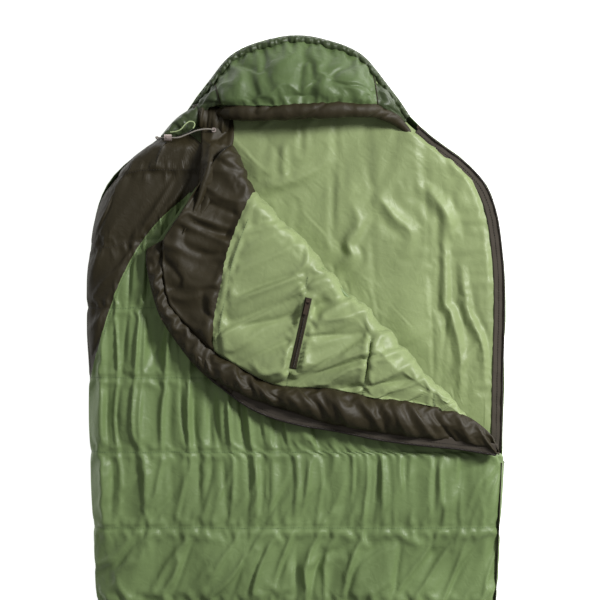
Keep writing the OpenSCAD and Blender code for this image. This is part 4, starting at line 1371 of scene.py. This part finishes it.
def make_neck_gather():
    """Bunched cloth where the hood, collar and shoulder panel meet."""
    upper = [(-200, 966), (-185, 969), (-165, 966), (-145, 960), (-128, 944)]
    lower = [(-196, 934), (-188, 924), (-175, 914), (-155, 905), (-132, 912)]
    band = crowned_band(lower, upper, 46, 22, 60, 40, 97, excess_along=1.06, excess_across=1.02,
                        rough=6.0, fold_along=9, fold_across=60, slant=0.1, fullness=0.45, steps=70)
    make_piece("neck_gather_cloth", closed_from_top(band, 40), BROWN, nodes=["neck_gather"])
    # The corner of the hood lies flat beside it.
    upper = [(-260, 906), (-240, 930), (-221, 947), (-190, 965)]
    lower = [(-255, 898), (-232, 904), (-209, 913), (-186, 928)]
    corner = crowned_band(lower, upper, 57, 14, 50, 24, 99, excess_along=1.03, rough=4.0,
                          fold_along=16, fold_across=30, slant=0.3, steps=70)
    make_piece("hood_corner_cloth", closed_from_top(corner, 40), OLIVE)


make_hood()
make_hood_hem()
make_face_roll()
make_neck_gather()


# ---------------------------------------------------------------- zip of the bag
def make_open_zip():
    y = np.linspace(300, 926, 260)
    edge = np.column_stack([half_width(y), y])
    tape = facing_up(ribbon(edge, 0.5, TAPE_WIDTH, 9, OPEN_ZIP_Z + 0.2, 0.8, 101))
    make_piece("zip_tape_back_cloth", sheet_solid(tape, 1.0), TAPE, nodes=["zip_tape_back_open"])
    make_coil("zip_coil_back_teeth", inset(edge, 2.6), OPEN_ZIP_Z, "bag", "zip_coil_back_open")
    make_stitches("zip_tape_stitches", inset(edge, 12.0), OPEN_ZIP_Z + 0.9, "bag")


def make_closed_zip():
    down = -unit(np.array([ZIP_SLOPE, 1.0]))
    line = ZIP_START + down * np.linspace(0, ZIP_LENGTH, 300)[:, None]
    tooth = dict(length=1.2, pitch=2.0, width=3.2, height=2.8)
    for layer, z in (("front", ZIP_Z + 0.9), ("back", ZIP_Z - 3.8)):
        make_coil(f"zip_coil_{layer}_closed_teeth", line, z, "bag", f"zip_coil_{layer}_closed",
                  tooth, cord_z=1.4, cord_radius=1.0)


make_open_zip()
make_closed_zip()

# ---------------------------------------------------------------- cord lock
LOCK_CENTRE = (-244.0, 900.0)
SPRING_FOOT = 79.9
SPRING_HEAD = 81.6


def make_lock_spring():
    """Coil under the button."""
    turn = np.linspace(0, 4 * math.pi, 80)
    path = np.column_stack([
        LOCK_CENTRE[0] + 1.9 * np.cos(turn), LOCK_CENTRE[1] + 1.9 * np.sin(turn),
        np.linspace(SPRING_FOOT + 0.25, SPRING_HEAD - 0.25, 80)])
    foot, head = [(LOCK_CENTRE[0] * MM, LOCK_CENTRE[1] * MM, z * MM)
                  for z in (SPRING_FOOT, SPRING_HEAD)]
    make_piece("cord_lock_spring_wire", tube_along(path, 0.22, sides=6), SPRING,
               nodes=["cord_lock_spring"], bend=("cord_lock", "cord_lock_button", foot, head))


make_lock_spring()

# ---------------------------------------------------------------- CAD pieces that stay
KEPT = [
    (TAPE, ["zip_tape_back_closed", "zip_tape_front_closed"]),
    (ZIP_METAL, ["zip_bottom_stop", "zip_top_stop_back", "flap_zip_top_stop", "zip_slider",
                 "zip_pull_outer", "zip_pull_inner", "pocket_slider", "pocket_pull"]),
    (WEBBING, ["hang_loop_left", "hang_loop_right"]),
    (LOCK, ["cord_eyelet", "cord_lock_barrel", "cord_lock_button"])]
for finish, nodes in KEPT:
    for node in nodes:
        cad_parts[node].data.materials.clear()
        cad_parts[node].data.materials.append(finish)
